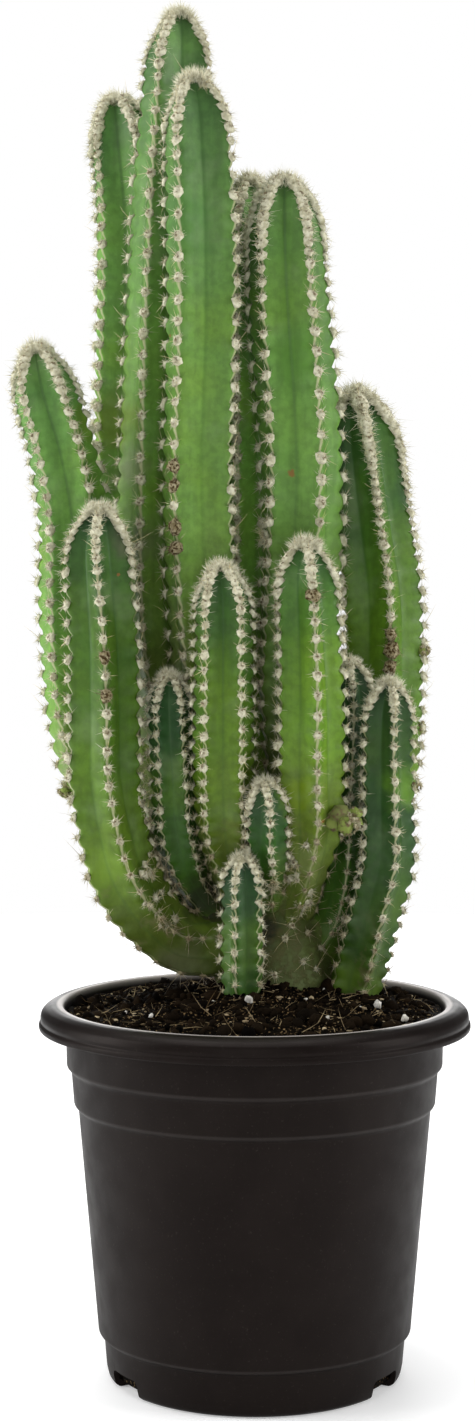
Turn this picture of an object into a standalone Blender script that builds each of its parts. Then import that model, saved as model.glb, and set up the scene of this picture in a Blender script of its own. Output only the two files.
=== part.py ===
"""Potted fairy castle cactus: a clump of ribbed stems on a woody base, in a grower's pot.

Metres, +Z up. X runs to the right, Y runs away from the front, and the pot stands on Z = 0.
Stems are drawn round the pot's axis in millimetres. Every piece then hangs on an empty on that
axis, which stands off the origin by FOOTPRINT_SHIFT, so that the origin lies under the middle.
"""

import math
import random
from collections import namedtuple

import bmesh
import bpy
from mathutils import Matrix, Vector
from mathutils.bvhtree import BVHTree

MM = 0.001
FOOTPRINT_SHIFT = Vector((0.0053, -0.0040, 0.0))
CLEARANCE = 0.0003
MERGE_DISTANCE = 0.00001

# Pot: a round grower's pot, 111 mm across its lip
TURNED_STEPS = 36
SHARP_ANGLE = 30
POT_HEIGHT = 0.0952
WALL = 0.0011
FLOOR = 0.0015
FOOT_RADIUS = 0.0380
FOOT_ROUNDING = 0.0018
FOOT_HEIGHT = 0.0030
FOOT_STEPS = 2
BODY_RADIUS = 0.0484
LIP_RADIUS = 0.0555
LIP_HEIGHT = 0.0062

# Each step of the wall: height under it, height over it, outer radius under it, outer radius over it
WALL_STEPS = (
    (0.0108, 0.0118, 0.0387, 0.0401),
    (0.0688, 0.0698, 0.0453, 0.0464),
    (0.0784, 0.0796, 0.0471, 0.0483),
)

# Rolled lip with its skirt, from the mouth over to the wall: distance in from its edge, distance down
LIP_PROFILE = (
    (0.0068, 0.0022),
    (0.0061, 0.0007),
    (0.0050, 0.0000),
    (0.0025, 0.0003),
    (0.0009, 0.0015),
    (0.0004, 0.0034),
    (0.0006, 0.0043),
    (0.0000, 0.0049),
    (0.0001, LIP_HEIGHT),
    (0.0013, LIP_HEIGHT),
    (0.0018, 0.0030),
    (0.0057, 0.0024),
    (0.0070, LIP_HEIGHT),
)

# Drain notches at the foot
NOTCH_ANGLES = (-150.0, -30.0, 90.0)
NOTCH_WIDTH = 0.0125
NOTCH_HEIGHT = 0.0048
NOTCH_INNER_RADIUS = 0.0310
NOTCH_OUTER_RADIUS = 0.0424

# Soil: a mound of peat, highest round the plant, with crumbs as two crossing waves and a slanted one
SOIL_EDGE_HEIGHT = 0.0924
SOIL_TOP_RADIUS = 0.0481
SOIL_RINGS = 6
MOUND_HEIGHT = 0.0064
MOUND_SPREAD = 0.0210
MOUND_CENTRE = Vector((0.0030, 0.0020, 0.0))
CRUMB_HEIGHT = 0.0006
CRUMB_TURNS = (410, 370)
SLANT_TURNS = (730, 520)
SLANT_SHARE = 0.5
HOLE_SIDES = 16
HOLE_ROOM = 0.00045

# Woody base: a squat trunk with a root plug in the soil, and an arm to each branching stem
TRUNK_CENTRE = Vector((0.0060, 0.0150, 0.0))
TRUNK_STEPS = 14
TRUNK_NECK_RADIUS = 0.0110
TRUNK_ROOT_RADIUS = 0.0105
TRUNK_ROOT_HEIGHT = 0.0860
TRUNK_PROFILE = (
    # radius, height
    (0.0, 0.1188),
    (0.0080, 0.1170),
    (0.0118, 0.1130),
    (0.0134, 0.1075),
    (0.0126, 0.1020),
    (TRUNK_NECK_RADIUS, 0.0995),
    (TRUNK_ROOT_RADIUS, TRUNK_ROOT_HEIGHT),
    (0.0, TRUNK_ROOT_HEIGHT),
)
LUMP_HEIGHT = 0.0007
LUMPS_FROM_HEIGHT = 0.1000
LUMPS_ROUND = 5
LUMPS_UP = 900
ARM_BEVEL_RESOLUTION = 2
ARM_POINT_SPACING = 0.0080
ARM_LAST_SPAN = 0.0020
ARM_FLARE = 0.15

# Ribs of a stem: the groove's radius as a share of the crest's, for each count of ribs
GROOVE_SHARE = {4: 0.58, 5: 0.66}
KNOB_HEIGHT = 0.0008
SINK_BETWEEN_KNOBS = 0.0004
TIP_SHARE = 1.6
TIP_ROUNDNESS = 0.8
TIP_FIRST_RING = 0.0010
LAST_RING_SHARE = 0.33
SWELL_LENGTH = 0.0500
SWELL_START = 0.90

# Spines: three-sided cones, rooted beside the rib crests, a needle on every few areoles
SPINE_RADIUS = 0.00034
SPINE_SIDE = 0.16
SPINE_RISE = 0.30
SPINE_ROOT = 0.0010
SPINE_SHORTEST = 0.0035
SPINE_LONGEST = 0.0065
SPINE_LEAN = (-0.2, 0.9)
SPINE_SWAY = (-0.6, 0.6)
SPINE_ROW_TURNS = 3
SPINE_RIB_TURNS = 2
SPINE_CYCLE = 9
SPINE_CHOSEN = (0, 4)
SPINE_TRIES = 8
SPINE_ROOM = 0.0010
SPINE_TEST_SHARES = (0.0, 0.33, 0.66, 1.0)
SPINE_SEED = 41

# One stem: crest radius, ribs, direction of its first rib from the front towards the right at its
# foot and at its tip, areole spacing, height where it leaves its arm (None where it roots in the
# soil), foot radius as a share, length of the narrowed foot, and its line from root to tip.
# Lengths in millimetres, angles in degrees.
Stem = namedtuple("Stem", "name radius ribs turn_low turn_high pitch joint foot foot_length line")

STEMS = (
    Stem("tall_back_stem", 10.1, 4, -10, -28, 8.0, 150, 0.60, 35, (
        (3, 18, 112), (-8, 25, 130), (-17, 30, 148), (-24, 32, 169), (-27, 31, 193), (-27, 29, 220),
        (-26, 28, 244), (-25, 28, 269), (-23, 28, 309), (-21, 28, 340), (-20, 28, 357))),
    Stem("tall_front_stem", 10.3, 4, -32, -32, 8.0, 143, 0.60, 35, (
        (4, 16, 112), (2, 19, 124), (-3, 18, 138), (-9, 16, 156), (-12, 15, 177), (-14, 13, 201),
        (-15, 12, 230), (-14, 10, 264), (-14, 9, 295), (-15, 9, 321), (-16, 9, 336))),
    Stem("left_back_stem", 10.0, 5, 27, 27, 8.0, 155, 0.60, 35, (
        (0, 20, 112), (-10, 31, 126), (-21, 41, 141), (-30, 47, 160), (-34, 49, 190), (-35, 47, 220),
        (-35, 46, 248), (-34, 45, 275), (-34, 45, 300), (-36, 45, 322), (-38, 44, 337))),
    Stem("right_tall_stem", 10.3, 5, 12, 36, 8.0, 145, 0.60, 35, (
        (6, 17, 112), (8, 20, 126), (9, 22, 140), (10, 22, 158), (11, 21, 182), (12, 19, 209),
        (12, 15, 238), (9, 14, 277), (8, 14, 300), (8, 14, 310))),
    Stem("centre_back_stem", 9.3, 5, -22, -22, 8.0, 152, 0.60, 35, (
        (5, 19, 112), (4, 26, 126), (1, 34, 142), (0, 40, 166), (-1, 39, 198), (-1, 35, 239),
        (-1, 32, 279), (-1, 32, 313))),
    Stem("left_outer_stem", 9.2, 5, 36, 36, 7.0, 131, 0.60, 30, (
        (-2, 20, 112), (-18, 25, 120), (-33, 25, 131), (-41, 23, 146), (-45, 20, 164), (-47, 19, 180),
        (-48, 19, 199), (-48, 18, 220), (-51, 17, 238), (-55, 15, 252), (-58, 15, 266))),
    Stem("left_front_stem", 9.2, 5, 25, -4, 7.0, 111, 0.84, 18, (
        (2, 15, 110), (-8, 12, 108), (-19, 9, 109), (-27, 6, 116), (-33, 4, 125), (-36, 3, 134),
        (-39, 2, 152), (-39, 1, 170), (-39, 1, 188), (-40, 1, 209), (-40, 1, 223))),
    Stem("right_outer_stem", 9.7, 5, 10, 10, 7.0, 128, 0.60, 30, (
        (8, 19, 108), (15, 26, 113), (24, 28, 123), (31, 28, 139), (34, 27, 156), (35, 26, 174),
        (35, 27, 198), (32, 27, 220), (29, 27, 241), (27, 27, 255))),
    Stem("right_front_stem", 7.0, 5, 20, 13, 6.2, None, 0.62, 20, (
        (28, 8, 88), (28, 8, 98), (29, 7, 109), (31, 5, 119), (34, 4, 131), (34, 3, 147),
        (34, 2, 162), (35, 2, 178))),
    Stem("right_inner_stem", 5.0, 5, 0, 0, 6.0, 117, 0.70, 14, (
        (6, 15, 104), (12, 15, 107), (19, 14, 116), (23, 13, 129), (25, 13, 146), (26, 12, 170),
        (25, 12, 183))),
    Stem("middle_right_stem", 8.7, 5, 12, 12, 6.6, 124, 0.58, 24, (
        (6, 15, 112), (11, 8, 121), (14, 3, 136), (14, 0, 152), (14, -3, 173), (13, -2, 200),
        (13, -2, 214))),
    Stem("middle_stem", 7.7, 5, 36, 36, 6.2, 123, 0.62, 24, (
        (2, 14, 112), (-4, 8, 121), (-7, 3, 135), (-8, -2, 152), (-8, -6, 173), (-8, -7, 196),
        (-9, -6, 208))),
    Stem("middle_left_stem", 5.7, 5, 36, 36, 5.6, 122, 0.66, 14, (
        (-2, 15, 110), (-14, 11, 121), (-20, 6, 137), (-21, 3, 152), (-22, 2, 170), (-22, 1, 180))),
    Stem("small_centre_stem", 5.4, 5, 10, 10, 5.2, 124, 0.55, 14, (
        (4, 10, 112), (4, 5, 120), (4, 1, 128), (3, -4, 137), (3, -7, 146), (2, -8, 153))),
    Stem("small_front_stem", 5.4, 5, -22, -22, 5.2, None, 0.70, 20, (
        (-3, -7, 88), (-3, -7, 98), (-3, -7, 110), (-3, -7, 122), (-3, -7, 134))),
    Stem("bud_stem", 3.2, 5, 0, 0, 4.4, 119, 0.70, 5, (
        (-8, 14, 108), (-17, 16, 115), (-21, 16, 122), (-24, 15, 131))),
)
YOUNG_STEMS = ("middle_left_stem", "small_centre_stem", "small_front_stem", "right_front_stem",
               "right_inner_stem", "bud_stem")

# Small dried nubs on the ribs: stem, height, direction from the front towards the right, radius
NUBS = (
    ("right_outer_stem", 185, 82, 2.2),
    ("right_outer_stem", 165, 82, 1.8),
    ("middle_right_stem", 143, 84, 3.2),
    ("left_outer_stem", 150, -100, 2.2),
)
NUB_SEGMENTS = 7
NUB_RINGS = 4

# Finishes: base colour and roughness
FINISHES = {
    "plastic": ((0.020, 0.017, 0.016), 0.42),
    "peat": ((0.018, 0.013, 0.010), 0.95),
    "bark": ((0.115, 0.110, 0.045), 0.75),
    "old_skin": ((0.100, 0.220, 0.050), 0.48),
    "young_skin": ((0.045, 0.170, 0.070), 0.48),
}


class StemLine:
    """A smooth line through a stem's points, measured along its length."""

    SAMPLES_PER_SPAN = 12
    FRAME_REACH = 0.001

    def __init__(self, points):
        knots = [Vector(point) * MM for point in points]
        knots = [knots[0] * 2 - knots[1]] + knots + [knots[-1] * 2 - knots[-2]]
        self.samples = []
        for index in range(1, len(knots) - 2):
            for sample in range(self.SAMPLES_PER_SPAN):
                self.samples.append(self.between(knots[index - 1:index + 3], sample / self.SAMPLES_PER_SPAN))
        self.samples.append(knots[-2])
        self.distances = [0.0]
        for before, after in zip(self.samples, self.samples[1:]):
            self.distances.append(self.distances[-1] + (after - before).length)
        self.length = self.distances[-1]

    @staticmethod
    def between(knots, share):
        """A point of the curve that passes through the two middle knots of four."""
        before, start, end, after = knots
        slope_start = (end - before) * 0.5
        slope_end = (after - start) * 0.5
        square = share * share
        cube = square * share
        return (start * (2 * cube - 3 * square + 1) + slope_start * (cube - 2 * square + share)
                + end * (3 * square - 2 * cube) + slope_end * (cube - square))

    def point(self, distance):
        """The place at a distance from the root."""
        distance = min(max(distance, 0.0), self.length)
        for index in range(1, len(self.distances)):
            if distance <= self.distances[index]:
                break
        span = self.distances[index] - self.distances[index - 1]
        share = (distance - self.distances[index - 1]) / span
        return self.samples[index - 1].lerp(self.samples[index], share)

    def frame(self, distance):
        """Place, direction, frontward and rightward axes at a distance from the root."""
        along = (self.point(distance + self.FRAME_REACH) - self.point(distance - self.FRAME_REACH)).normalized()
        front = Vector((0.0, -1.0, 0.0))
        front = (front - along * front.dot(along)).normalized()
        return self.point(distance), along, front, along.cross(front)

    def distance_at_height(self, height):
        """The distance from the root at which the line last rises through a height."""
        for index in range(len(self.samples) - 1, 0, -1):
            low = self.samples[index - 1].z
            high = self.samples[index].z
            if low <= height <= high:
                share = (height - low) / (high - low)
                return self.distances[index - 1] + share * (self.distances[index] - self.distances[index - 1])
        return 0.0


def clear_scene():
    for scene_object in list(bpy.data.objects):
        bpy.data.objects.remove(scene_object, do_unlink=True)


def new_collection(name):
    collection = bpy.data.collections.new(name)
    bpy.context.scene.collection.children.link(collection)
    return collection


def new_object(name, mesh, collection):
    new = bpy.data.objects.new(name, mesh)
    collection.objects.link(new)
    return new


def give_material(piece, finish):
    """Gives a piece its own material, in the colour and roughness of a finish."""
    colour, roughness = FINISHES[finish]
    material = bpy.data.materials.new(f"{piece.name}_{finish}")
    material.use_nodes = True
    shader = material.node_tree.nodes["Principled BSDF"]
    shader.inputs["Base Color"].default_value = (*colour, 1.0)
    shader.inputs["Roughness"].default_value = roughness
    shader.inputs["Metallic"].default_value = 0.0
    piece.data.materials.clear()
    piece.data.materials.append(material)


def apply_modifiers(target):
    """Puts the evaluated mesh in the place of the object's own."""
    evaluated = target.evaluated_get(bpy.context.evaluated_depsgraph_get())
    mesh = bpy.data.meshes.new_from_object(evaluated)
    mesh.name = target.name
    target.modifiers.clear()
    target.data = mesh


def turned(name, profile, collection, steps):
    """A solid turned round Z from a profile of (radius, height), down its outer side."""
    mesh = bpy.data.meshes.new(name)
    mesh.from_pydata([(radius, 0.0, height) for radius, height in profile],
                     [(index, index + 1) for index in range(len(profile) - 1)], [])
    solid = new_object(name, mesh, collection)
    screw = solid.modifiers.new("turn", "SCREW")
    screw.steps = steps
    screw.render_steps = steps
    screw.use_merge_vertices = True
    screw.merge_threshold = MERGE_DISTANCE
    apply_modifiers(solid)
    return solid


def cut_away(target, cutter, cutters):
    """Moves a new primitive to the cutters and takes its shape out of the target."""
    for collection in list(cutter.users_collection):
        collection.objects.unlink(cutter)
    cutters.objects.link(cutter)
    cutter.hide_render = True
    cutter.display_type = "WIRE"
    boolean = target.modifiers.new(cutter.name, "BOOLEAN")
    boolean.operation = "DIFFERENCE"
    boolean.object = cutter


def join_to(target, name, meshes):
    """Joins loose meshes to an object with one Boolean union, and removes their collection."""
    collection = new_collection(name)
    for index, mesh in enumerate(meshes):
        new_object(f"{name}_{index + 1}", mesh, collection)
    bpy.context.view_layer.update()
    boolean = target.modifiers.new(name, "BOOLEAN")
    boolean.operation = "UNION"
    boolean.operand_type = "COLLECTION"
    boolean.collection = collection
    boolean.solver = "MANIFOLD"
    apply_modifiers(target)
    for piece in list(collection.objects):
        bpy.data.objects.remove(piece, do_unlink=True)
    bpy.data.collections.remove(collection)


def smooth_step(share):
    share = min(max(share, 0.0), 1.0)
    return share * share * (3.0 - 2.0 * share)


def inner_wall():
    """The pot's inner wall from the floor up, as (radius, height)."""
    points = [(FOOT_RADIUS - FOOT_ROUNDING, FLOOR)]
    for low, high, radius_low, radius_high in WALL_STEPS:
        points.append((radius_low - WALL, high))
        points.append((radius_high - WALL, high + (high - low)))
    points.append((BODY_RADIUS - WALL, POT_HEIGHT - LIP_HEIGHT - WALL))
    return points


def pot_profile():
    """The pot's section: floor, inner wall, rolled lip with its skirt, stepped wall and foot."""
    inside = [(0.0, FLOOR)] + inner_wall()
    lip = [(LIP_RADIUS - inwards, POT_HEIGHT - down) for inwards, down in LIP_PROFILE]
    wall = []
    for low, high, radius_low, radius_high in reversed(WALL_STEPS):
        wall.append((radius_high, high))
        wall.append((radius_low, low))
    foot = []
    for step in range(FOOT_STEPS + 1):
        turn = math.pi / 2 * step / FOOT_STEPS
        inwards = FOOT_ROUNDING * (1.0 - math.cos(turn))
        foot.append((FOOT_RADIUS - inwards, FOOT_HEIGHT * (1.0 - math.sin(turn))))
    return inside + lip + wall + foot + [(0.0, 0.0)]


def build_pot(parts, cutters):
    """The moulded pot, with its drain notches cut through the foot."""
    pot = turned("pot", pot_profile(), parts, TURNED_STEPS)
    depth = NOTCH_OUTER_RADIUS - NOTCH_INNER_RADIUS
    for index, angle in enumerate(NOTCH_ANGLES):
        bpy.ops.mesh.primitive_cube_add(size=1.0)
        notch = bpy.context.object
        notch.name = f"notch_cutter_{index + 1}"
        notch.data.transform(Matrix.Diagonal((depth, NOTCH_WIDTH, NOTCH_HEIGHT * 2, 1.0)))
        notch.data.transform(Matrix.Translation((NOTCH_INNER_RADIUS + depth / 2, 0.0, 0.0)))
        notch.data.transform(Matrix.Rotation(math.radians(angle), 4, "Z"))
        cut_away(pot, notch, cutters)
    apply_modifiers(pot)
    pot.data.shade_smooth()
    pot.data.set_sharp_from_angle(angle=math.radians(SHARP_ANGLE))
    give_material(pot, "plastic")


def soil_height(point):
    """The soil's surface: a mound with a fixed ripple of crumbs."""
    away = Vector((point.x, point.y, 0.0)) - MOUND_CENTRE
    mound = MOUND_HEIGHT * math.exp(-away.length_squared / (2 * MOUND_SPREAD ** 2))
    ripple = math.sin(point.x * CRUMB_TURNS[0]) * math.cos(point.y * CRUMB_TURNS[1])
    ripple += SLANT_SHARE * math.sin(point.x * SLANT_TURNS[0] + point.y * SLANT_TURNS[1])
    return SOIL_EDGE_HEIGHT + mound + CRUMB_HEIGHT * ripple


def soil_profile():
    """The peat plug's section: its top in rings, then plain slopes just inside the pot's wall."""
    floor_edge, _, _, middle_step, _, _, _, wall_top = inner_wall()
    profile = [(SOIL_TOP_RADIUS * ring / SOIL_RINGS, SOIL_EDGE_HEIGHT) for ring in range(SOIL_RINGS + 1)]
    profile.append((wall_top[0] - CLEARANCE, wall_top[1]))
    profile.append((middle_step[0] - CLEARANCE, middle_step[1]))
    profile.append((floor_edge[0] - CLEARANCE, FLOOR + CLEARANCE))
    profile.append((0.0, FLOOR + CLEARANCE))
    return profile


def root_holes(lines):
    """Place, radius and floor height of each root's hole in the soil."""
    holes = [(TRUNK_CENTRE, TRUNK_NECK_RADIUS, TRUNK_ROOT_HEIGHT)]
    for stem in STEMS:
        if stem.joint is None:
            line = lines[stem.name]
            root = line.point(0.0)
            depth = SOIL_EDGE_HEIGHT + MOUND_HEIGHT - root.z
            holes.append((root, crest_radius(stem, line.length - depth, depth) + KNOB_HEIGHT, root.z))
    return holes


def build_soil(parts, cutters, lines):
    """The peat plug, with a relief on top and plain holes for the roots."""
    soil = turned("soil", soil_profile(), parts, TURNED_STEPS)
    for vertex in soil.data.vertices:
        if vertex.co.z > SOIL_EDGE_HEIGHT - MERGE_DISTANCE:
            vertex.co.z = soil_height(vertex.co)
    for index, (place, radius, floor) in enumerate(root_holes(lines)):
        bpy.ops.mesh.primitive_cylinder_add(vertices=HOLE_SIDES, radius=radius + HOLE_ROOM, depth=POT_HEIGHT)
        hole = bpy.context.object
        hole.name = f"root_hole_cutter_{index + 1}"
        hole.data.transform(Matrix.Translation((place.x, place.y, floor - CLEARANCE + POT_HEIGHT / 2)))
        cut_away(soil, hole, cutters)
    apply_modifiers(soil)
    give_material(soil, "peat")
    return soil


def stem_foot(stem, line):
    """The distance from the root at which the stem starts."""
    if stem.joint is None:
        return 0.0
    return line.distance_at_height(stem.joint * MM)


def arm_mesh(stem, line):
    """A round arm from inside the trunk to just under the stem's foot, thinning on its way."""
    foot = stem_foot(stem, line)
    count = max(2, round(foot / ARM_POINT_SPACING))
    place, along, _, _ = line.frame(foot)
    points = [line.point(foot * step / count) for step in range(count)]
    points += [place - along * ARM_LAST_SPAN, place - along * CLEARANCE]
    curve = bpy.data.curves.new("arm", "CURVE")
    curve.dimensions = "3D"
    curve.bevel_depth = stem.radius * MM * stem.foot
    curve.bevel_resolution = ARM_BEVEL_RESOLUTION
    curve.use_fill_caps = True
    spline = curve.splines.new("POLY")
    spline.points.add(len(points) - 1)
    for step, point in enumerate(points):
        spline.points[step].co = (*point, 1.0)
        spline.points[step].radius = 1.0 + ARM_FLARE * max(1.0 - step / count, 0.0)
    arm = new_object("arm", curve, bpy.context.scene.collection)
    mesh = bpy.data.meshes.new_from_object(arm.evaluated_get(bpy.context.evaluated_depsgraph_get()))
    bpy.data.objects.remove(arm, do_unlink=True)
    welded = bmesh.new()
    welded.from_mesh(mesh)
    bmesh.ops.remove_doubles(welded, verts=welded.verts, dist=MERGE_DISTANCE)
    welded.to_mesh(mesh)
    welded.free()
    return mesh


def build_woody_base(parts, lines):
    """The squat trunk, lumpy above the soil and round below it, with an arm to each branching stem."""
    base = turned("woody_base", TRUNK_PROFILE, parts, TRUNK_STEPS)
    for vertex in base.data.vertices:
        if vertex.co.z > LUMPS_FROM_HEIGHT:
            turn = math.atan2(vertex.co.y, vertex.co.x)
            lump = LUMP_HEIGHT * math.sin(turn * LUMPS_ROUND + vertex.co.z * LUMPS_UP)
            vertex.co.x += lump * math.cos(turn)
            vertex.co.y += lump * math.sin(turn)
    base.data.transform(Matrix.Translation(TRUNK_CENTRE))
    arms = [arm_mesh(stem, lines[stem.name]) for stem in STEMS if stem.joint is not None]
    join_to(base, "arms", arms)
    give_material(base, "bark")
    return base


def crest_radius(stem, to_tip, from_foot):
    """The rib crest's radius at a distance from the tip and from the foot."""
    tip_share = min(to_tip / (stem.radius * MM * TIP_SHARE), 1.0)
    tip = (1.0 - (1.0 - tip_share) ** 2) ** TIP_ROUNDNESS
    swell = SWELL_START + (1.0 - SWELL_START) * smooth_step(to_tip / SWELL_LENGTH)
    foot = stem.foot + (1.0 - stem.foot) * smooth_step(from_foot / (stem.foot_length * MM))
    return stem.radius * MM * tip * swell * foot


def stem_levels(stem, length):
    """Distances of the rings from the tip. Every second one from the second on carries areoles."""
    half_pitch = stem.pitch * MM / 2
    levels = [TIP_FIRST_RING]
    levels += [half_pitch * step for step in range(1, int(length / half_pitch) + 1)]
    if length - levels[-1] < half_pitch * LAST_RING_SHARE:
        levels.pop()
    return levels + [length]


def ribbed_ring(stem, line, distance, foot, relief):
    """One star-shaped ring of a stem's skin, and the outward direction at each corner."""
    centre, _, front, right = line.frame(distance)
    radius = crest_radius(stem, line.length - distance, distance - foot)
    turn = stem.turn_low + (stem.turn_high - stem.turn_low) * distance / line.length
    ring = []
    outwards = []
    for corner in range(stem.ribs * 2):
        angle = math.radians(turn + corner * 180.0 / stem.ribs)
        outward = front * math.cos(angle) + right * math.sin(angle)
        is_crest = corner % 2 == 0
        reach = radius + relief if is_crest else radius * GROOVE_SHARE[stem.ribs]
        ring.append(centre + outward * reach)
        outwards.append(outward)
    return ring, outwards


def lofted_mesh(name, rings, end_point):
    """A closed mesh through star-shaped rings of equal size, flat at its start and pointed at its end."""
    sides = len(rings[0])
    points = [point for ring in rings for point in ring] + [end_point]
    faces = [tuple(reversed(range(sides)))]
    for level in range(len(rings) - 1):
        for side in range(sides):
            beside = (side + 1) % sides
            low = level * sides
            high = low + sides
            faces.append((low + side, low + beside, high + beside, high + side))
    last = (len(rings) - 1) * sides
    for side in range(sides):
        faces.append((last + side, last + (side + 1) % sides, len(points) - 1))
    mesh = bpy.data.meshes.new(name)
    mesh.from_pydata([tuple(point) for point in points], [], faces)
    return mesh


def build_stem_skin(stem, line):
    """The ribbed skin of a stem, and its areoles as (row, rib, root of the spine, outward, along)."""
    foot = stem_foot(stem, line)
    rings = []
    areoles = []
    for level, to_tip in enumerate(stem_levels(stem, line.length - foot)):
        distance = line.length - to_tip
        has_areoles = level % 2 == 1
        relief = KNOB_HEIGHT if has_areoles else -SINK_BETWEEN_KNOBS
        relief *= smooth_step((distance - foot) / (stem.pitch * MM))
        ring, outwards = ribbed_ring(stem, line, distance, foot, relief)
        if has_areoles:
            along = line.frame(distance)[1]
            for rib in range(stem.ribs):
                crest = ring[rib * 2]
                side = 1 if (level // 2 + rib) % 2 else -1
                rise = (rings[-1][rib * 2] - crest) * SPINE_RISE
                root = crest.lerp(ring[(rib * 2 + side) % len(ring)], SPINE_SIDE) + rise
                areoles.append((level // 2, rib, root, outwards[rib * 2], along))
        rings.append(ring)
    rings.reverse()
    return lofted_mesh(stem.name, rings, line.point(line.length)), areoles


def spine_mesh(start, direction, reach):
    """A three-sided needle from its root inside the rib to its point."""
    cone = bmesh.new()
    length = reach + SPINE_ROOT
    bmesh.ops.create_cone(cone, cap_ends=True, segments=3, radius1=SPINE_RADIUS, radius2=0.0, depth=length)
    middle = start + direction * (reach - length / 2)
    stance = Matrix.Translation(middle) @ direction.to_track_quat("Z", "Y").to_matrix().to_4x4()
    bmesh.ops.transform(cone, matrix=stance, verts=cone.verts)
    mesh = bpy.data.meshes.new("spine")
    cone.to_mesh(mesh)
    cone.free()
    return mesh


def is_clear(start, direction, reach, trees, placed):
    """Whether a needle would stay clear of the other solids and of the needles already placed."""
    for tree in trees:
        if tree.ray_cast(start, direction, reach + SPINE_ROOM)[0] is not None:
            return False
        for share in SPINE_TEST_SHARES:
            if tree.find_nearest(start + direction * reach * share, SPINE_ROOM)[0] is not None:
                return False
    samples = [start + direction * reach * share for share in SPINE_TEST_SHARES]
    for other_start, other_direction, other_reach in placed:
        for share in SPINE_TEST_SHARES:
            other = other_start + other_direction * other_reach * share
            if any((sample - other).length < SPINE_ROOM for sample in samples):
                return False
    return True


def choose_spines(areoles, trees, placed, source):
    """Places a needle on every few areoles, evenly on all ribs, each bent clear of its neighbours."""
    meshes = []
    for row, rib, start, outward, along in areoles:
        if (row * SPINE_ROW_TURNS + rib * SPINE_RIB_TURNS) % SPINE_CYCLE not in SPINE_CHOSEN:
            continue
        across = along.cross(outward)
        for _ in range(SPINE_TRIES):
            lean = along * source.uniform(*SPINE_LEAN)
            sway = across * source.uniform(*SPINE_SWAY)
            reach = source.uniform(SPINE_SHORTEST, SPINE_LONGEST)
            direction = (outward + lean + sway).normalized()
            if is_clear(start, direction, reach, trees, placed):
                placed.append((start, direction, reach))
                meshes.append(spine_mesh(start, direction, reach))
                break
    return meshes


def nub_mesh(centre, radius):
    """A small rounded lump with few sides."""
    ball = bmesh.new()
    bmesh.ops.create_uvsphere(ball, u_segments=NUB_SEGMENTS, v_segments=NUB_RINGS, radius=radius,
                              matrix=Matrix.Translation(centre))
    mesh = bpy.data.meshes.new("nub")
    ball.to_mesh(mesh)
    ball.free()
    return mesh


def nub_meshes(stem, line):
    """The dried nubs that sit on a stem's ribs."""
    meshes = []
    for name, height, direction, size in NUBS:
        if name == stem.name:
            distance = line.distance_at_height(height * MM)
            centre, _, front, right = line.frame(distance)
            angle = math.radians(direction)
            radius = crest_radius(stem, line.length - distance, distance - stem_foot(stem, line))
            outward = front * math.cos(angle) + right * math.sin(angle)
            meshes.append(nub_mesh(centre + outward * radius, size * MM))
    return meshes


def surface_tree(piece):
    corners = [vertex.co.copy() for vertex in piece.data.vertices]
    return BVHTree.FromPolygons(corners, [tuple(face.vertices) for face in piece.data.polygons])


def build_stems(parts, lines, neighbours):
    """All the stems, each with its spines and nubs joined to it."""
    skins = {}
    areoles = {}
    for stem in STEMS:
        mesh, areoles[stem.name] = build_stem_skin(stem, lines[stem.name])
        skins[stem.name] = new_object(stem.name, mesh, parts)
    trees = {piece.name: surface_tree(piece) for piece in [*skins.values(), *neighbours]}
    placed = []
    for order, stem in enumerate(STEMS):
        others = [tree for name, tree in trees.items() if name != stem.name]
        pieces = choose_spines(areoles[stem.name], others, placed, random.Random(SPINE_SEED + order))
        pieces += nub_meshes(stem, lines[stem.name])
        join_to(skins[stem.name], "spines", pieces)
        give_material(skins[stem.name], "young_skin" if stem.name in YOUNG_STEMS else "old_skin")


def hang_on_axis(pieces):
    """Parents the pieces to an empty on the pot's axis, which stands off the origin."""
    axis = bpy.data.objects.new("pot_axis", None)
    bpy.context.scene.collection.objects.link(axis)
    axis.location = FOOTPRINT_SHIFT
    for piece in pieces:
        piece.parent = axis


def main():
    clear_scene()
    parts = new_collection("potted_fairy_castle_cactus")
    cutters = new_collection("cutters")
    lines = {stem.name: StemLine(stem.line) for stem in STEMS}
    build_pot(parts, cutters)
    soil = build_soil(parts, cutters, lines)
    base = build_woody_base(parts, lines)
    build_stems(parts, lines, [soil, base])
    hang_on_axis([*parts.objects, *cutters.objects])
    bpy.context.view_layer.update()


main()
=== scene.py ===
"""Dressed scene of a potted fairy castle cactus: fine ribbed stems with wool and spines, base, peat and pot.

Metres, +Z up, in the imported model's frame. Stems are drawn round the pot's axis in millimetres, as
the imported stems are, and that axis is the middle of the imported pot.
"""

import math
from collections import namedtuple

import bmesh
import bpy
import numpy as np
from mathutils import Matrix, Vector, noise
from mathutils.kdtree import KDTree


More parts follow.
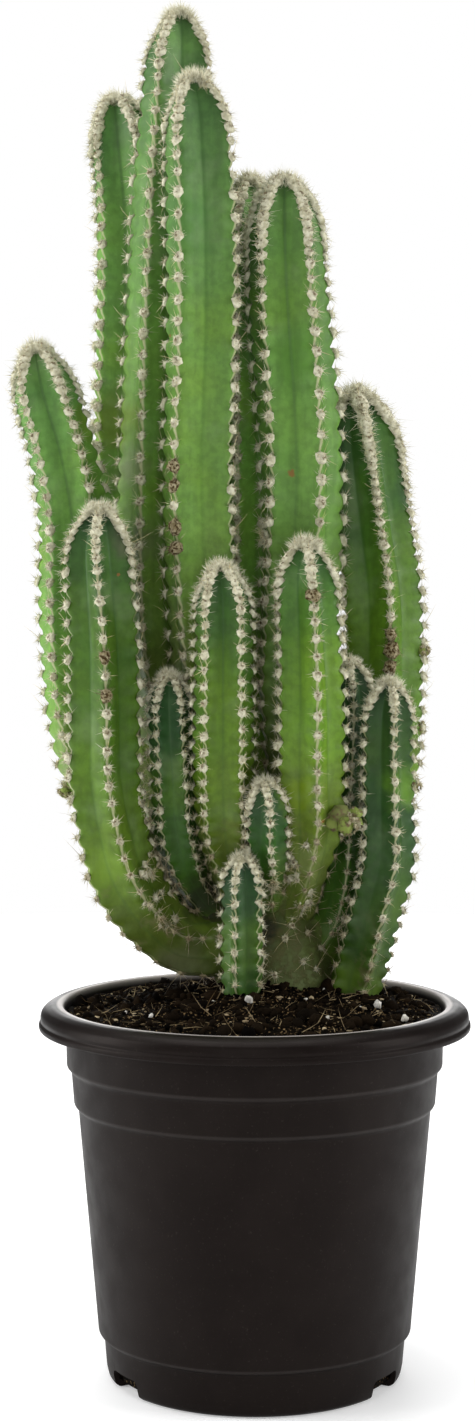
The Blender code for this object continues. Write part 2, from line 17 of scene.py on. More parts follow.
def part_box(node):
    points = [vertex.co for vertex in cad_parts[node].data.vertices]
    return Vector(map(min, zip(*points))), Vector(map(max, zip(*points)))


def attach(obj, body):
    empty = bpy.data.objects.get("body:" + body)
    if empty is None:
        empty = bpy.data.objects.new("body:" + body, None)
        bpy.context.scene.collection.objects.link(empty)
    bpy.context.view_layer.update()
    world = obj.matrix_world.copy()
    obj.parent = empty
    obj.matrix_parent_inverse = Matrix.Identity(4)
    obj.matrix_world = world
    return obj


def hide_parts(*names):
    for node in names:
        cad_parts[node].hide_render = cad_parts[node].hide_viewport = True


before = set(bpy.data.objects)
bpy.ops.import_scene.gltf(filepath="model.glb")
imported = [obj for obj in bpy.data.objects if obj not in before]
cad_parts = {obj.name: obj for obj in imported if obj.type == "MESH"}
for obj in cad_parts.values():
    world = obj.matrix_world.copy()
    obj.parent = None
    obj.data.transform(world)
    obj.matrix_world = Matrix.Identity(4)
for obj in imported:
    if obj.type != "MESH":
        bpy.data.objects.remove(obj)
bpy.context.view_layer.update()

MM = 0.001
POT_LOW, POT_HIGH = (np.array(corner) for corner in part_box("pot"))
AXIS = np.array([(POT_LOW[0] + POT_HIGH[0]) / 2, (POT_LOW[1] + POT_HIGH[1]) / 2, 0.0])
POT_HEIGHT = float(POT_HIGH[2])
LIP_RADIUS = float(POT_HIGH[0] - POT_LOW[0]) / 2
FRONT = np.array([0.0, -1.0, 0.0])
FULL_TURN = 2 * math.pi

# Camera: level, at the photograph's distance and height, with the horizon moved up in the picture
IMAGE_HEIGHT_PX = 1421
FOCAL_PX = 2523
HORIZON_PX = 583
SENSOR_MM = 36.0
CAMERA_DISTANCE = 0.650
CAMERA_HEIGHT = 0.203
CAMERA_ASIDE = -0.0044

# Pot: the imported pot's section, turned finer and with its corners rounded
POT_STEPS = 120
WALL = 0.0011
POT_FLOOR = 0.0015
FOOT_RADIUS = 0.0380
BODY_RADIUS = 0.0484
LIP_HEIGHT = 0.0062
LIP_ROUGHNESS_SHARE = 0.80
# Painted highlight: a pale ring on the rim's inner edge and pale lines at the wall's steps
RIM_HIGHLIGHT_INSET = 0.0056
RIM_HIGHLIGHT_REACH = 0.0013
RIM_HIGHLIGHT_DEPTHS = (0.002, 0.001)
STEP_HIGHLIGHT_REACH = 0.0007
STEP_HIGHLIGHT_SHARE = 0.032
CORNER_ROUNDING = 0.0005
CORNER_STEPS = 3
WALL_STEPS = (
    # height under the step, height over it, outer radius under it, outer radius over it
    (0.0108, 0.0118, 0.0387, 0.0401),
    (0.0688, 0.0698, 0.0453, 0.0464),
    (0.0784, 0.0796, 0.0471, 0.0483),
)
LIP_PROFILE = (
    # distance in from the lip's edge, distance down from its top, from the mouth over to the wall
    (0.0068, 0.0022),
    (0.0064, 0.0006),
    (0.0058, 0.0000),
    (0.0034, 0.0001),
    (0.0018, 0.0009),
    (0.0007, 0.0020),
    (0.0004, 0.0035),
    (0.0006, 0.0043),
    (0.0000, 0.0049),
    (0.0001, LIP_HEIGHT),
    (0.0013, LIP_HEIGHT),
    (0.0018, 0.0030),
    (0.0057, 0.0024),
    (0.0070, LIP_HEIGHT),
)
FOOT_PROFILE = ((FOOT_RADIUS, 0.0030), (0.0375, 0.0009), (0.0362, 0.0))
NOTCH_ANGLES = (-150.0, -30.0, 90.0)
NOTCH_WIDTH = 0.0125
NOTCH_HEIGHT = 0.0048
NOTCH_ROUNDING = 0.0016
NOTCH_INNER_RADIUS = 0.0310
NOTCH_OUTER_RADIUS = 0.0424
NOTCH_STEPS = 5
POT_SHARP_DEGREES = 32

# Soil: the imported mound, with litter on it. Crumbs, clods and chips are given as count, sink, smallest
# and largest radius, subdivisions, roughness and, for the chips, flatness.
SOIL_EDGE_HEIGHT = 0.0924
SOIL_TOP_RADIUS = 0.0481
SOIL_RINGS = 72
SOIL_STEPS = 150
SOIL_EDGE_CALM = 0.0070
MOUND_HEIGHT = 0.0064
MOUND_SPREAD = 0.0210
MOUND_CENTRE = (0.0030, 0.0020)
SOIL_CLEARANCE = 0.0003
SOIL_EDGE_RELIEF = 0.25
SOIL_RELIEF = (
    # cells a metre and height of the coarse relief, the lumps and the grain
    (130.0, 0.0012),
    (380.0, 0.0017),
    (1100.0, 0.0006),
)
LUMP_SHIFT = Vector((3.0, 1.0, 0.0))
SOIL_SEED = 7
LITTER_MARGIN = 0.0016
CRUMBS = (900, 0.0, 0.0004, 0.0013, 1, 0.30)
CLODS = (80, 0.0002, 0.0014, 0.0026, 2, 0.20)
CHIPS = (240, 0.0, 0.0003, 0.0011, 1, 0.30, 0.4)
FIBRE_COUNT = 300
FIBRE_LENGTHS = (0.0015, 0.0065)
FIBRE_THICKNESS = (0.00005, 0.00017)
FIBRE_MARGIN = 0.001
FIBRE_BEND = 0.36
SMALL_GRAINS = 14
SMALL_GRAIN_SIZES = (0.0003, 0.0007)
GRAIN_ROUGHNESS = 0.40
GRAIN_RISE = 0.8
WHITE_GRAINS = (
    # place across and away from the pot's axis and radius, in millimetres
    (31.3, -9.0, 1.1),
    (37.2, -22.5, 1.0),
    (-1.5, -16.5, 1.2),
    (18.0, -24.0, 0.7),
    (-26.0, -22.0, 0.6),
)

# Woody base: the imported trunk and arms, welded into one soft skin
TRUNK_CENTRE = np.array([0.0060, 0.0150, 0.0])
TRUNK_PROFILE = (
    # radius, height
    (0.0, 0.1188),
    (0.0080, 0.1170),
    (0.0118, 0.1130),
    (0.0141, 0.1075),
    (0.0149, 0.1020),
    (0.0156, 0.0975),
    (0.0120, 0.0860),
    (0.0, 0.0860),
)
TRUNK_STEPS = 28
ARM_FLARE = 0.15
ARM_STEPS = 20
ARM_SPACING = 0.0025
ARM_END_GAP = 0.0003
ARM_UNDER_SKIN = 0.93
BASE_SOFTENING = 8
BARK_RELIEF = ((150.0, 0.0011), (600.0, 0.00035))
YOUNG_BARK_CALM = 0.6
YOUTH_SAMPLES = 16
BASE_VOXEL = 0.0012
BASE_SEED = 23

# Stem skin: shares of the crest's radius, and the relief along each crest
GROOVE_AT_TIP = {4: 0.54, 5: 0.60}
GROOVE_AT_FOOT = {4: 0.68, 5: 0.78}
GROOVE_AT_ROOT = 0.90
GROOVE_FILL = 0.016
GROOVE_REACH = 0.05
FOOT_FADE = 0.0180
ROOT_REACH = 0.0085
ARM_COVER = 1.05
RINGS_PER_PITCH = 5
FACE_SHARES = (0.0, 0.045, 0.12, 0.25, 0.44, 0.70, 0.94, 1.0)
FACE_BULGE = 0.022
EDGE_THICKNESS = 0.00045
EDGE_RISE = 0.05
EDGE_FALL = 0.45
FULL_EDGE_RADIUS = 0.004
CREST_WAVE = 0.00068
WAVE_ON_ARMS = 0.4
WAVE_REACH = 0.20
NOTCH_SKEW = 2.1
TIP_SHARE = 1.6
TIP_ROUNDNESS = 0.8
BLUNT_TIPS = {"left_back_stem": 0.55, "right_tall_stem": 0.60}
TIP_RINGS = (0.00025, 0.0006, 0.0011, 0.0017, 0.0024)
SWELL_LENGTH = 0.0500
SWELL_START = 0.90
WANDER_DEGREES = 1.6
WANDER_WAVES = (9.0, 4.0)
GROWN_RADIUS = 10.0
STEM_SEED = 300

# Corky scars in the skin: place across and up in millimetres round the pot's axis, and radius
SCARS = ((9.7, 231.6, 1.2), (-35.0, 205.0, 0.5), (17.5, 142.0, 0.5), (-22.0, 268.0, 0.4))

# The tint of all skins
SKIN_TINT = (0.83, 0.90, 0.77)

# How much lighter or darker some stems are than their tones: partly their own tone and partly painted light
# and painted shade, as on the centre back stem, lightened where it lies in shade behind the others
STEM_TONE_AND_PAINTED_LIGHT = {"left_front_stem": 0.78, "left_outer_stem": 1.30, "middle_stem": 0.82, "middle_right_stem": 1.12,
          "right_outer_stem": 0.90, "left_back_stem": 1.38, "tall_back_stem": 1.10, "small_front_stem": 0.90,
          "right_front_stem": 0.80, "centre_back_stem": 1.45, "tall_front_stem": 1.04,
          "right_tall_stem": 1.06}

# The darkest and the lightest colour of each kind of loose bit on the soil
LITTER_TONES = {"peat_crumb": ((0.0004, 0.0003, 0.0002), (0.0120, 0.0074, 0.0036)),
                "peat_fibre": ((0.080, 0.052, 0.024), (0.400, 0.310, 0.175)),
                "bark_chip": ((0.045, 0.028, 0.012), (0.450, 0.360, 0.225)),
                "white_grain": ((0.340, 0.300, 0.230), (0.720, 0.710, 0.680))}

# Colours in the skins and the bark
YELLOWED_SKIN = (0.145, 0.240, 0.012)
WAXY_BLOOM = (0.210, 0.290, 0.150)
# Painted shade: the colour that darkens the groove between two ribs
CREASE_PAINTED_SHADE = (0.030, 0.085, 0.018)
PALE_CREST = (0.400, 0.405, 0.230)
CORKY_FOOT = (0.150, 0.125, 0.060)
SCAR_BROWN = (0.230, 0.090, 0.022)
BARK_TONES = ((0.0, (0.088, 0.112, 0.036)), (0.35, (0.080, 0.106, 0.026)),
              (0.70, (0.082, 0.115, 0.024)), (1.0, (0.100, 0.150, 0.028)))

# Painted shade on the old bark: near-black spots where the clump's foot lies in deep shade; place across and
# up, and radius, in millimetres
PAINTED_SHADE_SPOTS = ((-13.0, 119.0, 8.0), (1.5, 113.0, 8.0))

# Soft patches of another green, partly the skin's own tones and partly painted light and painted shade: place
# across and up, radius in millimetres, and colour
SKIN_PATCHES_AND_PAINTED_LIGHT = (
    (11.5, 148.0, 6.5, (0.190, 0.300, 0.006)),
    (-39.0, 129.0, 10.0, (0.165, 0.290, 0.016)),
    (-39.0, 247.0, 12.0, (0.140, 0.190, 0.006)),
    # painted light: lightens the low left of the tall back stem, which lies in the left back stem's shade
    (-33.5, 233.0, 8.0, (0.200, 0.225, 0.115)),
    (-22.0, 186.0, 9.0, (0.080, 0.120, 0.020)),
    (39.5, 150.0, 9.0, (0.130, 0.270, 0.016)),
    (-17.0, 297.0, 12.0, (0.060, 0.170, 0.030)),
    # painted light: lightens the clump's foot, which lies in shade under the stems
    (11.8, 130.0, 7.5, (0.200, 0.250, 0.080)),
    # painted shade: this one and the next darken to near black where the clump's foot lies in deep shade
    (-13.3, 120.0, 7.5, (0.016, 0.020, 0.007)),
    (-13.0, 121.0, 6.5, (0.014, 0.017, 0.006)),
    (-30.5, 214.0, 8.0, (0.095, 0.092, 0.055)),
    # painted light: lightens the underside of the left front stem, which lies in shade
    (-19.5, 103.5, 9.0, (0.160, 0.175, 0.085)),
    (25.0, 101.0, 8.0, (0.120, 0.225, 0.016)),
    (12.0, 262.0, 10.0, (0.070, 0.180, 0.020)),
)

# Age of the areoles: where the low ones begin and how far that change runs, as shares of the rib from
# its tip, the age of the youngest, how much older the low ones are, and the length of the fresh tip
LOW_START = 0.45
LOW_REACH = 0.5
YOUNGEST = 0.15
AGEING = 0.75
FRESH_LENGTH = 0.02

# Areoles: wool pads with fine hairs, and the spines that stand in them
TIP_PITCH_SHARE = 0.30
TIP_PACKING_LENGTH = 0.0310
FIRST_AREOLE = 0.0006
LAST_AREOLE_MARGIN = 0.002
LOWEST_SOIL_AREOLE = SOIL_EDGE_HEIGHT + MOUND_HEIGHT * 0.6
AREOLE_REACH = 0.0004
AREOLE_LEAN = 0.02
TUFT_SINK = 0.0004
PAD_RADIUS = 0.00214
PAD_LOW_SHARE = 0.60
DRIED_PAD_SHARE = 1.5
DRIED_AGE = 2.0
PAD_SIDES = 7
PAD_SHAPE = np.array([0.70, 0.62, 0.75])
PAD_LEVELS = (
    # radius, height, and how brown the wool is there
    (1.0, -0.30, 0.0),
    (0.86, 0.24, 0.15),
    (0.48, 0.50, 0.75),
)
PAD_TOP = 0.56
HAIRS_PER_PAD = 27
HAIR_THICKNESS = 0.000082
HAIR_ROOTS = np.array([0.48, 0.44, 0.32])
HAIR_DROOP = 0.22
HAIR_SCATTER = 0.38
TIP_HAIRS = (140, 40)
TIP_HAIR_LENGTHS = (0.0012, 0.0038)
TIP_HAIR_SPREAD = 1.1
TIP_CAP_SHARE = 0.40
TIP_CAP_CURVE = 0.55
TIP_CAP_SINK = 0.0004
SPINES_PER_PAD = 6
SPINE_THICKNESS = 0.000068
SPINE_SCALE = (0.30, 0.70)
SPINE_GROWTH = (0.66, 0.72)
SPINE_ROOT_SHARE = 0.2
SPINE_BEND = 0.10
LOOSE_SPINE_SCALE = 1.35
LONG_SPINES = (0.0022, 0.0048)
SHORT_SPINES = (0.0018, 0.0030)
NEEDLE_MIDDLE = (0.55, 0.62)

# One stem: crest radius, ribs, direction of its first rib from the front towards the right at its
# foot and at its tip, real areole spacing, height where it leaves its arm (None where it roots in the
# soil), foot radius as a share, length of the narrowed foot, and its line from root to tip.
# Lengths in millimetres, angles in degrees.
Stem = namedtuple("Stem", "name radius ribs turn_low turn_high pitch joint foot foot_length line")

STEMS = (
    Stem("tall_back_stem", 10.1, 4, -10, -28, 5.4, 150, 0.60, 35, (
        (3, 18, 112), (-8, 25, 130), (-17, 30, 148), (-24, 32, 169), (-27, 31, 193), (-27, 29, 220),
        (-26, 28, 244), (-25, 28, 269), (-23, 28, 309), (-21, 28, 340), (-20, 28, 357))),
    Stem("tall_front_stem", 10.3, 4, -32, -32, 5.4, 143, 0.60, 35, (
        (4, 16, 112), (2, 19, 124), (-3, 18, 138), (-9, 16, 156), (-12, 15, 177), (-14, 13, 201),
        (-15, 12, 230), (-14, 10, 264), (-14, 9, 295), (-15, 9, 321), (-16, 9, 336))),
    Stem("left_back_stem", 10.0, 5, 27, 27, 5.4, 155, 0.74, 35, (
        (0, 20, 112), (-11, 31, 126), (-22, 41, 141), (-30, 47, 160), (-34, 49, 190), (-35, 47, 220),
        (-35, 46, 248), (-34, 45, 275), (-34, 45, 300), (-36, 45, 322), (-38, 44, 337))),
    Stem("right_tall_stem", 10.9, 5, 12, 36, 5.4, 145, 0.60, 35, (
        (6, 17, 112), (8, 20, 126), (9, 22, 140), (10, 22, 158), (11, 21, 182), (12, 19, 209),
        (12, 15, 238), (9, 14, 277), (8, 14, 300), (8, 14, 310))),
    Stem("centre_back_stem", 9.3, 5, -22, -22, 5.4, 152, 0.60, 35, (
        (5, 19, 112), (4, 26, 126), (1, 34, 142), (0, 40, 166), (-1, 39, 198), (-1, 35, 239),
        (-1, 32, 279), (-1, 32, 313))),
    Stem("left_outer_stem", 9.2, 5, 36, 36, 4.75, 131, 0.77, 30, (
        (-2, 20, 112), (-18, 25, 120), (-32, 25, 131), (-40, 23, 146), (-45, 20, 164), (-47, 19, 180),
        (-48, 19, 199), (-48, 18, 220), (-51, 17, 238), (-55, 15, 252), (-58, 15, 266))),
    Stem("left_front_stem", 9.2, 5, 25, -4, 4.8, 111, 0.84, 18, (
        (2, 15, 110), (-8, 12, 108), (-19, 9, 109), (-27, 6, 116), (-33, 4, 125), (-36, 3, 134),
        (-39, 2, 152), (-39, 1, 170), (-39, 1, 188), (-40, 1, 209), (-40, 1, 223))),
    Stem("right_outer_stem", 10.9, 5, 10, 10, 4.5, 128, 0.74, 30, (
        (8, 19, 108), (15, 25, 112), (23, 27, 121), (30, 28, 138), (33, 27, 156), (33.8, 26, 174),
        (33.8, 27, 198), (31, 27, 220), (28.5, 27, 241), (27, 27, 255))),
    Stem("right_front_stem", 7.0, 5, 20, 13, 4.3, None, 0.90, 14, (
        (25, 8, 88), (26, 8, 98), (28.5, 7, 109), (31, 5, 119), (34, 4, 131), (34, 3, 147),
        (34, 2, 162), (35, 2, 178))),
    Stem("right_inner_stem", 5.0, 5, 0, 0, 4.0, 117, 1.06, 14, (
        (6, 15, 102), (13, 14, 104), (20, 13, 112), (24, 12.5, 127), (25, 13, 146), (26, 12, 170),
        (25, 12, 183))),
    Stem("middle_right_stem", 8.7, 5, 12, 12, 4.6, 124, 0.58, 24, (
        (6, 15, 112), (11, 8, 121), (14, 3, 136), (14, 0, 152), (14, -3, 173), (13, -2, 200),
        (13, -2, 214))),
    Stem("middle_stem", 7.7, 5, 36, 36, 3.9, 123, 0.62, 24, (
        (2, 14, 112), (-4, 8, 121), (-7, 3, 135), (-8, -2, 152), (-8, -6, 173), (-8, -7, 196),
        (-9, -6, 208))),
    Stem("middle_left_stem", 5.7, 5, 36, 36, 3.9, 122, 0.66, 14, (
        (-2, 15, 110), (-14, 11, 121), (-20, 6, 137), (-21, 3, 152), (-22, 2, 170), (-22, 1, 180))),
    Stem("small_centre_stem", 5.4, 5, 10, 10, 3.6, 124, 0.55, 14, (
        (4, 10, 112), (4, 5, 120), (4, 1, 128), (3, -4, 137), (3, -7, 146), (2, -8, 153))),
    Stem("small_front_stem", 5.4, 5, -22, -22, 4.1, None, 0.70, 20, (
        (-3, -7, 88), (-3, -7, 98), (-3, -7, 110), (-3, -7, 122), (-3, -7, 134))),
    Stem("bud_stem", 3.2, 5, 0, 0, 3.0, 119, 0.70, 5, (
        (-8, 14, 108), (-17, 16, 115), (-21, 16, 122), (-24, 15, 131))),
)

# Skin tones from foot to tip, as (share of the height, colour), and the stems that wear them
TONES = {
    "sage": ((0.0, (0.090, 0.105, 0.032)), (0.22, (0.118, 0.164, 0.034)), (0.42, (0.138, 0.248, 0.046)),
             (0.66, (0.122, 0.244, 0.050)), (0.88, (0.095, 0.198, 0.048)), (1.0, (0.055, 0.128, 0.033))),
    "green": ((0.0, (0.095, 0.112, 0.026)), (0.24, (0.118, 0.172, 0.017)), (0.46, (0.116, 0.218, 0.015)),
              (0.70, (0.080, 0.174, 0.020)), (0.90, (0.041, 0.110, 0.024)), (1.0, (0.026, 0.074, 0.023))),
    "young": ((0.0, (0.090, 0.140, 0.018)), (0.26, (0.044, 0.106, 0.011)), (0.60, (0.029, 0.090, 0.015)),
              (0.84, (0.023, 0.071, 0.020)), (1.0, (0.019, 0.057, 0.022))),
}
SAGE_STEMS = ("tall_back_stem", "tall_front_stem", "left_back_stem", "right_tall_stem", "centre_back_stem",
              "left_outer_stem")
YOUNG_STEMS = ("middle_left_stem", "small_centre_stem", "small_front_stem", "right_front_stem",
               "right_inner_stem", "bud_stem")

# Dried nubs on the ribs: stem, height, direction from the front towards the right, radius, rise of
# their middle over the rib, tufts
NUBS = (
    ("right_outer_stem", 185, 82, 1.9, 0.4, 5),
    ("right_outer_stem", 165, 82, 1.7, 0.4, 4),
    ("right_outer_stem", 150, 82, 1.9, 0.4, 4),
    ("middle_right_stem", 143, 60, 4.3, 2.0, 16),
    ("left_outer_stem", 150, -100, 2.2, 0.4, 5),
    ("left_outer_stem", 143, -100, 1.8, 0.4, 5),
)
NUB_LUMPS = 9
NUB_ROUGHNESS = 0.24

# Dried brown areoles: stem, rib, heights in millimetres
DRIED_AREOLES = (
    ("tall_front_stem", 0, (232, 227, 219, 213)),
    ("left_front_stem", 0, (182, 176)),
    ("right_outer_stem", 0, (186, 182, 190)),
    ("tall_back_stem", 1, (240, 233, 226)),
    ("middle_right_stem", 0, (200,)),
)

# Crowded tufts: stem, height, direction, count, reach in millimetres
CLUSTERS = (
    ("left_front_stem", 144, 92, 9, 5.0),
    ("left_front_stem", 124, 60, 9, 8.0),
    ("left_front_stem", 116, 20, 8, 7.0),
    ("middle_right_stem", 134, -30, 11, 8.0),
    ("middle_right_stem", 122, 25, 8, 6.0),
    ("bud_stem", 129, 0, 12, 3.6),
    ("right_inner_stem", 118, 10, 8, 6.0),
    ("small_centre_stem", 124, 30, 6, 5.0),
    ("tall_front_stem", 334, -55, 6, 2.5),
    ("tall_front_stem", 334, 45, 6, 2.5),
    ("left_front_stem", 213, 88, 5, 2.5),
    ("right_tall_stem", 217, -64, 6, 3.0),
)

# Tufts on the old trunk: direction from the front towards the right, height in millimetres
TRUNK_TUFTS = ((-17, 105), (27, 105), (42, 103), (53, 108), (9, 111), (-3, 102), (66, 112), (-35, 110),
               (20, 114), (40, 112))

# How much larger the tufts grow near the tip, and how much more wool than the rest some stems wear
TIP_TUFT_GAIN = 0.22
TIP_TUFT_LENGTH = 0.0280
WOOLLY_STEMS = {"right_outer_stem": 0.48, "left_back_stem": 0.12, "right_tall_stem": 0.16,
                "centre_back_stem": 0.16, "left_outer_stem": 0.10, "right_inner_stem": 0.20}

# Edges of marks in a skin: cells a metre of their unevenness, its size, where the mark is full as a
# share of its radius, and its strength
SCAR_EDGE = (1100.0, 0.0003, 0.4, 0.8)
PATCH_EDGE = (130.0, 0.0020, 0.2, 0.6)
PAINTED_SHADE_EDGE = (130.0, 0.0020, 0.2, 0.9)

# Light: name, place, width, height and power of each lamp, which all face the plant's middle
LIGHT_TARGET_HEIGHT = 0.17
LIGHTS = (
    ("right_light", (1.37, -0.30, 0.60), 0.7, 1.3, 16.5),
    ("left_light", (-1.39, -0.12, 0.60), 0.9, 1.4, 22.0),
    ("front_light", (-0.10, -1.60, 0.55), 1.1, 0.9, 6.4),
    ("top_light", (-0.1, 0.2, 1.6), 1.4, 1.4, 28.0),
    ("back_light", (0.0, 1.50, 0.42), 0.9, 0.8, 8.0),
)
WORLD_STRENGTH = 0.16
BACKDROP_STRENGTH = 1.0
FLOOR_RADIUS = 0.9
FLOOR_STEPS = 96
FLOOR_GLOW = 0.28
WHITE = (1.0, 1.0, 1.0, 1.0)


def smooth_step(share):
    share = np.clip(share, 0.0, 1.0)
    return share * share * (3.0 - 2.0 * share)


def unit(vectors):
    return vectors / np.linalg.norm(vectors, axis=-1, keepdims=True)


def girth(stem):
    """A stem's radius as a share of a full-grown stem's."""
    return stem.radius / GROWN_RADIUS


class StemLine:
    """A smooth line through a stem's points, measured along its length."""

    SAMPLES_PER_SPAN = 16
    FRAME_REACH = 0.001

    def __init__(self, points):
        knots = np.array(points, dtype=float) * MM
        knots = np.vstack([2 * knots[0] - knots[1], knots, 2 * knots[-1] - knots[-2]])
        shares = np.arange(self.SAMPLES_PER_SPAN)[:, None] / self.SAMPLES_PER_SPAN
        spans = [self.between(knots[index - 1:index + 3], shares) for index in range(1, len(knots) - 2)]
        self.samples = np.vstack([*spans, knots[-2:-1]]) + AXIS
        steps = np.linalg.norm(np.diff(self.samples, axis=0), axis=1)
        self.distances = np.concatenate([[0.0], np.cumsum(steps)])
        self.length = self.distances[-1]

    @staticmethod
    def between(knots, share):
        """Points of the curve that passes through the two middle knots of four."""
        before, start, end, after = knots
        slope_start = (end - before) * 0.5
        slope_end = (after - start) * 0.5
        square = share * share
        cube = square * share
        return (start * (2 * cube - 3 * square + 1) + slope_start * (cube - 2 * square + share)
                + end * (3 * square - 2 * cube) + slope_end * (cube - square))

    def points(self, distances):
        """The places at distances from the root."""
        return np.stack([np.interp(distances, self.distances, self.samples[:, axis]) for axis in range(3)],
                        axis=-1)

    def frames(self, distances):
        """Places, directions, frontward and rightward axes at distances from the root."""
        distances = np.asarray(distances, dtype=float)
        along = unit(self.points(distances + self.FRAME_REACH) - self.points(distances - self.FRAME_REACH))
        front = unit(FRONT - along * (along @ FRONT)[..., None])
        return self.points(distances), along, front, np.cross(along, front)

    def distance_at_height(self, height):
        """The distance from the root at which the line last rises through a height."""
        heights = self.samples[:, 2]
        crossings = np.nonzero((heights[:-1] <= height) & (height <= heights[1:]))[0]
        index = crossings[-1]
        share = (height - heights[index]) / (heights[index + 1] - heights[index])
        return self.distances[index] + share * (self.distances[index + 1] - self.distances[index])


def stem_foot(stem, line):
    """The distance from the root at which the stem's skin starts."""
    if stem.joint is None:
        return 0.0
    return line.distance_at_height(stem.joint * MM)


def crest_radius(stem, line, distances):
    """The rib crest's radius at distances from the root, which on the arm is a little over the arm's."""
    to_tip = line.length - distances
    foot = stem_foot(stem, line)
    tip_share = np.clip(to_tip / (stem.radius * MM * TIP_SHARE), 0.0, 1.0)
    tip = (1.0 - (1.0 - tip_share) ** 2) ** BLUNT_TIPS.get(stem.name, TIP_ROUNDNESS)
    swell = SWELL_START + (1.0 - SWELL_START) * smooth_step(to_tip / SWELL_LENGTH)
    narrow = stem.foot + (1.0 - stem.foot) * smooth_step((distances - foot) / (stem.foot_length * MM))
    if foot > 0.0:
        narrow = narrow * (1.0 + (ARM_COVER - 1.0 + ARM_FLARE * np.clip(1.0 - distances / foot, 0.0, 1.0))
                           * smooth_step(1.0 - (distances - foot) / (stem.foot_length * MM)))
    return stem.radius * MM * tip * swell * narrow


def stem_turn(stem, line, distances):
    """The direction of the first rib, which wanders a little along the stem."""
    share = distances / line.length
    quick, slow = (share * waves for waves in WANDER_WAVES)
    wander = WANDER_DEGREES * np.sin(quick + stem.radius * 3.0) * np.sin(slow + stem.pitch)
    return np.radians(stem.turn_low + (stem.turn_high - stem.turn_low) * share + wander)


def rib_axes(stem, line, rib, distances):
    """Centre, outward, sideways and lengthwise directions of a rib."""
    centre, along, front, right = line.frames(distances)
    angle = (stem_turn(stem, line, distances) + FULL_TURN * rib / stem.ribs)[..., None]
    outward = front * np.cos(angle) + right * np.sin(angle)
    sideways = right * np.cos(angle) - front * np.sin(angle)
    return centre, outward, sideways, along


def areole_places(stem, span, source):
    """Distances from the tip of one rib's areoles: packed at the tip, even lower down."""
    packing = TIP_PACKING_LENGTH * girth(stem) ** 1.5 * (1.0 + 2.0 * WOOLLY_STEMS.get(stem.name, 0.0))
    places = [FIRST_AREOLE * source.uniform(0.8, 2.2)]
    while places[-1] < span:
        share = TIP_PITCH_SHARE + (1.0 - TIP_PITCH_SHARE) * smooth_step(places[-1] / packing)
        places.append(places[-1] + stem.pitch * MM * share * source.uniform(0.93, 1.07))
    return np.array(places)


def crest_relief(stem, line, places, to_tip):
    """Rise of the crest over its mean: high at each areole, with a notch just above the next one."""
    order = np.interp(to_tip, places, np.arange(len(places)))
    phase = order - np.floor(order)
    spacing = np.interp(to_tip, places[:-1], np.diff(places))
    from_foot = line.length - to_tip - stem_foot(stem, line)
    size = np.minimum(spacing / (stem.pitch * MM), 1.0)
    size = size * (WAVE_ON_ARMS + (1.0 - WAVE_ON_ARMS) * smooth_step(from_foot / FOOT_FADE))
    return CREST_WAVE * size * np.cos(FULL_TURN * phase ** NOTCH_SKEW)


def groove_share(stem, to_tip, from_foot, span):
    """The groove's radius as a share of the crest's: deep near the tip, nearly flat at the root."""
    low = GROOVE_AT_FOOT[stem.ribs]
    share = GROOVE_AT_TIP[stem.ribs] + (low - GROOVE_AT_TIP[stem.ribs]) * smooth_step(to_tip / span)
    return GROOVE_AT_ROOT + (share - GROOVE_AT_ROOT) * smooth_step(from_foot / FOOT_FADE)


def new_object(name, mesh):
    new = bpy.data.objects.new(name, mesh)
    bpy.context.scene.collection.objects.link(new)
    return new


def mesh_object(name, points, face_blocks, smooth=True, values=None):
    """An object from a point array, blocks of equal faces, and named values at its points."""
    corners = np.concatenate([np.asarray(block).ravel() for block in face_blocks]).astype(np.int32)
    totals = np.concatenate([np.full(len(block), np.shape(block)[1]) for block in face_blocks])
    mesh = bpy.data.meshes.new(name)
    mesh.vertices.add(len(points))
    mesh.vertices.foreach_set("co", np.asarray(points, dtype=np.float32).ravel())
    mesh.loops.add(len(corners))
    mesh.loops.foreach_set("vertex_index", corners)
    mesh.polygons.add(len(totals))
    mesh.polygons.foreach_set("loop_start", np.concatenate([[0], np.cumsum(totals)[:-1]]).astype(np.int32))
    mesh.update(calc_edges=True)
    for key, value in (values or {}).items():
        layer = mesh.attributes.new(key, "FLOAT", "POINT")
        layer.data.foreach_set("value", np.asarray(value, dtype=np.float32).ravel())
    if smooth:
        mesh.shade_smooth()
    return new_object(name, mesh)


def grid_faces(rows, columns, first=0):
    """Quads of a tube of rows, closed round its columns."""
    row = np.arange(rows - 1)[:, None] * columns
    column = np.arange(columns)[None, :]
    beside = (column + 1) % columns
    quads = np.stack([row + column, row + beside, row + columns + beside, row + columns + column], axis=-1)
    return quads.reshape(-1, 4) + first


def fan_faces(ring_start, columns, centre, flip):
    """Triangles that close a ring of points to a centre point."""
    column = np.arange(columns)
    beside = (column + 1) % columns
    fan = np.stack([ring_start + column, ring_start + beside, np.full(columns, centre)], axis=-1)
    return fan[:, ::-1] if flip else fan


def closed_tube(grid, start, end):
    """Points and faces of a tube from its rows of points, closed to one point at each end."""
    rows, columns = grid.shape[:2]
    total = rows * columns
    faces = [grid_faces(rows, columns), fan_faces(0, columns, total, True),
             fan_faces(total - columns, columns, total + 1, False)]
    return np.concatenate([grid.reshape(-1, 3), [start], [end]]), faces


def join_parts(parts):
    """One point array and face list from several (points, face blocks, values) parts."""
    points = []
    blocks = []
    values = {}
    first = 0
    for part_points, part_blocks, part_values in parts:
        points.append(part_points)
        blocks += [np.asarray(block) + first for block in part_blocks]
        for key, value in part_values.items():
            values.setdefault(key, []).append(value)
        first += len(part_points)
    return np.concatenate(points), blocks, {key: np.concatenate(value) for key, value in values.items()}


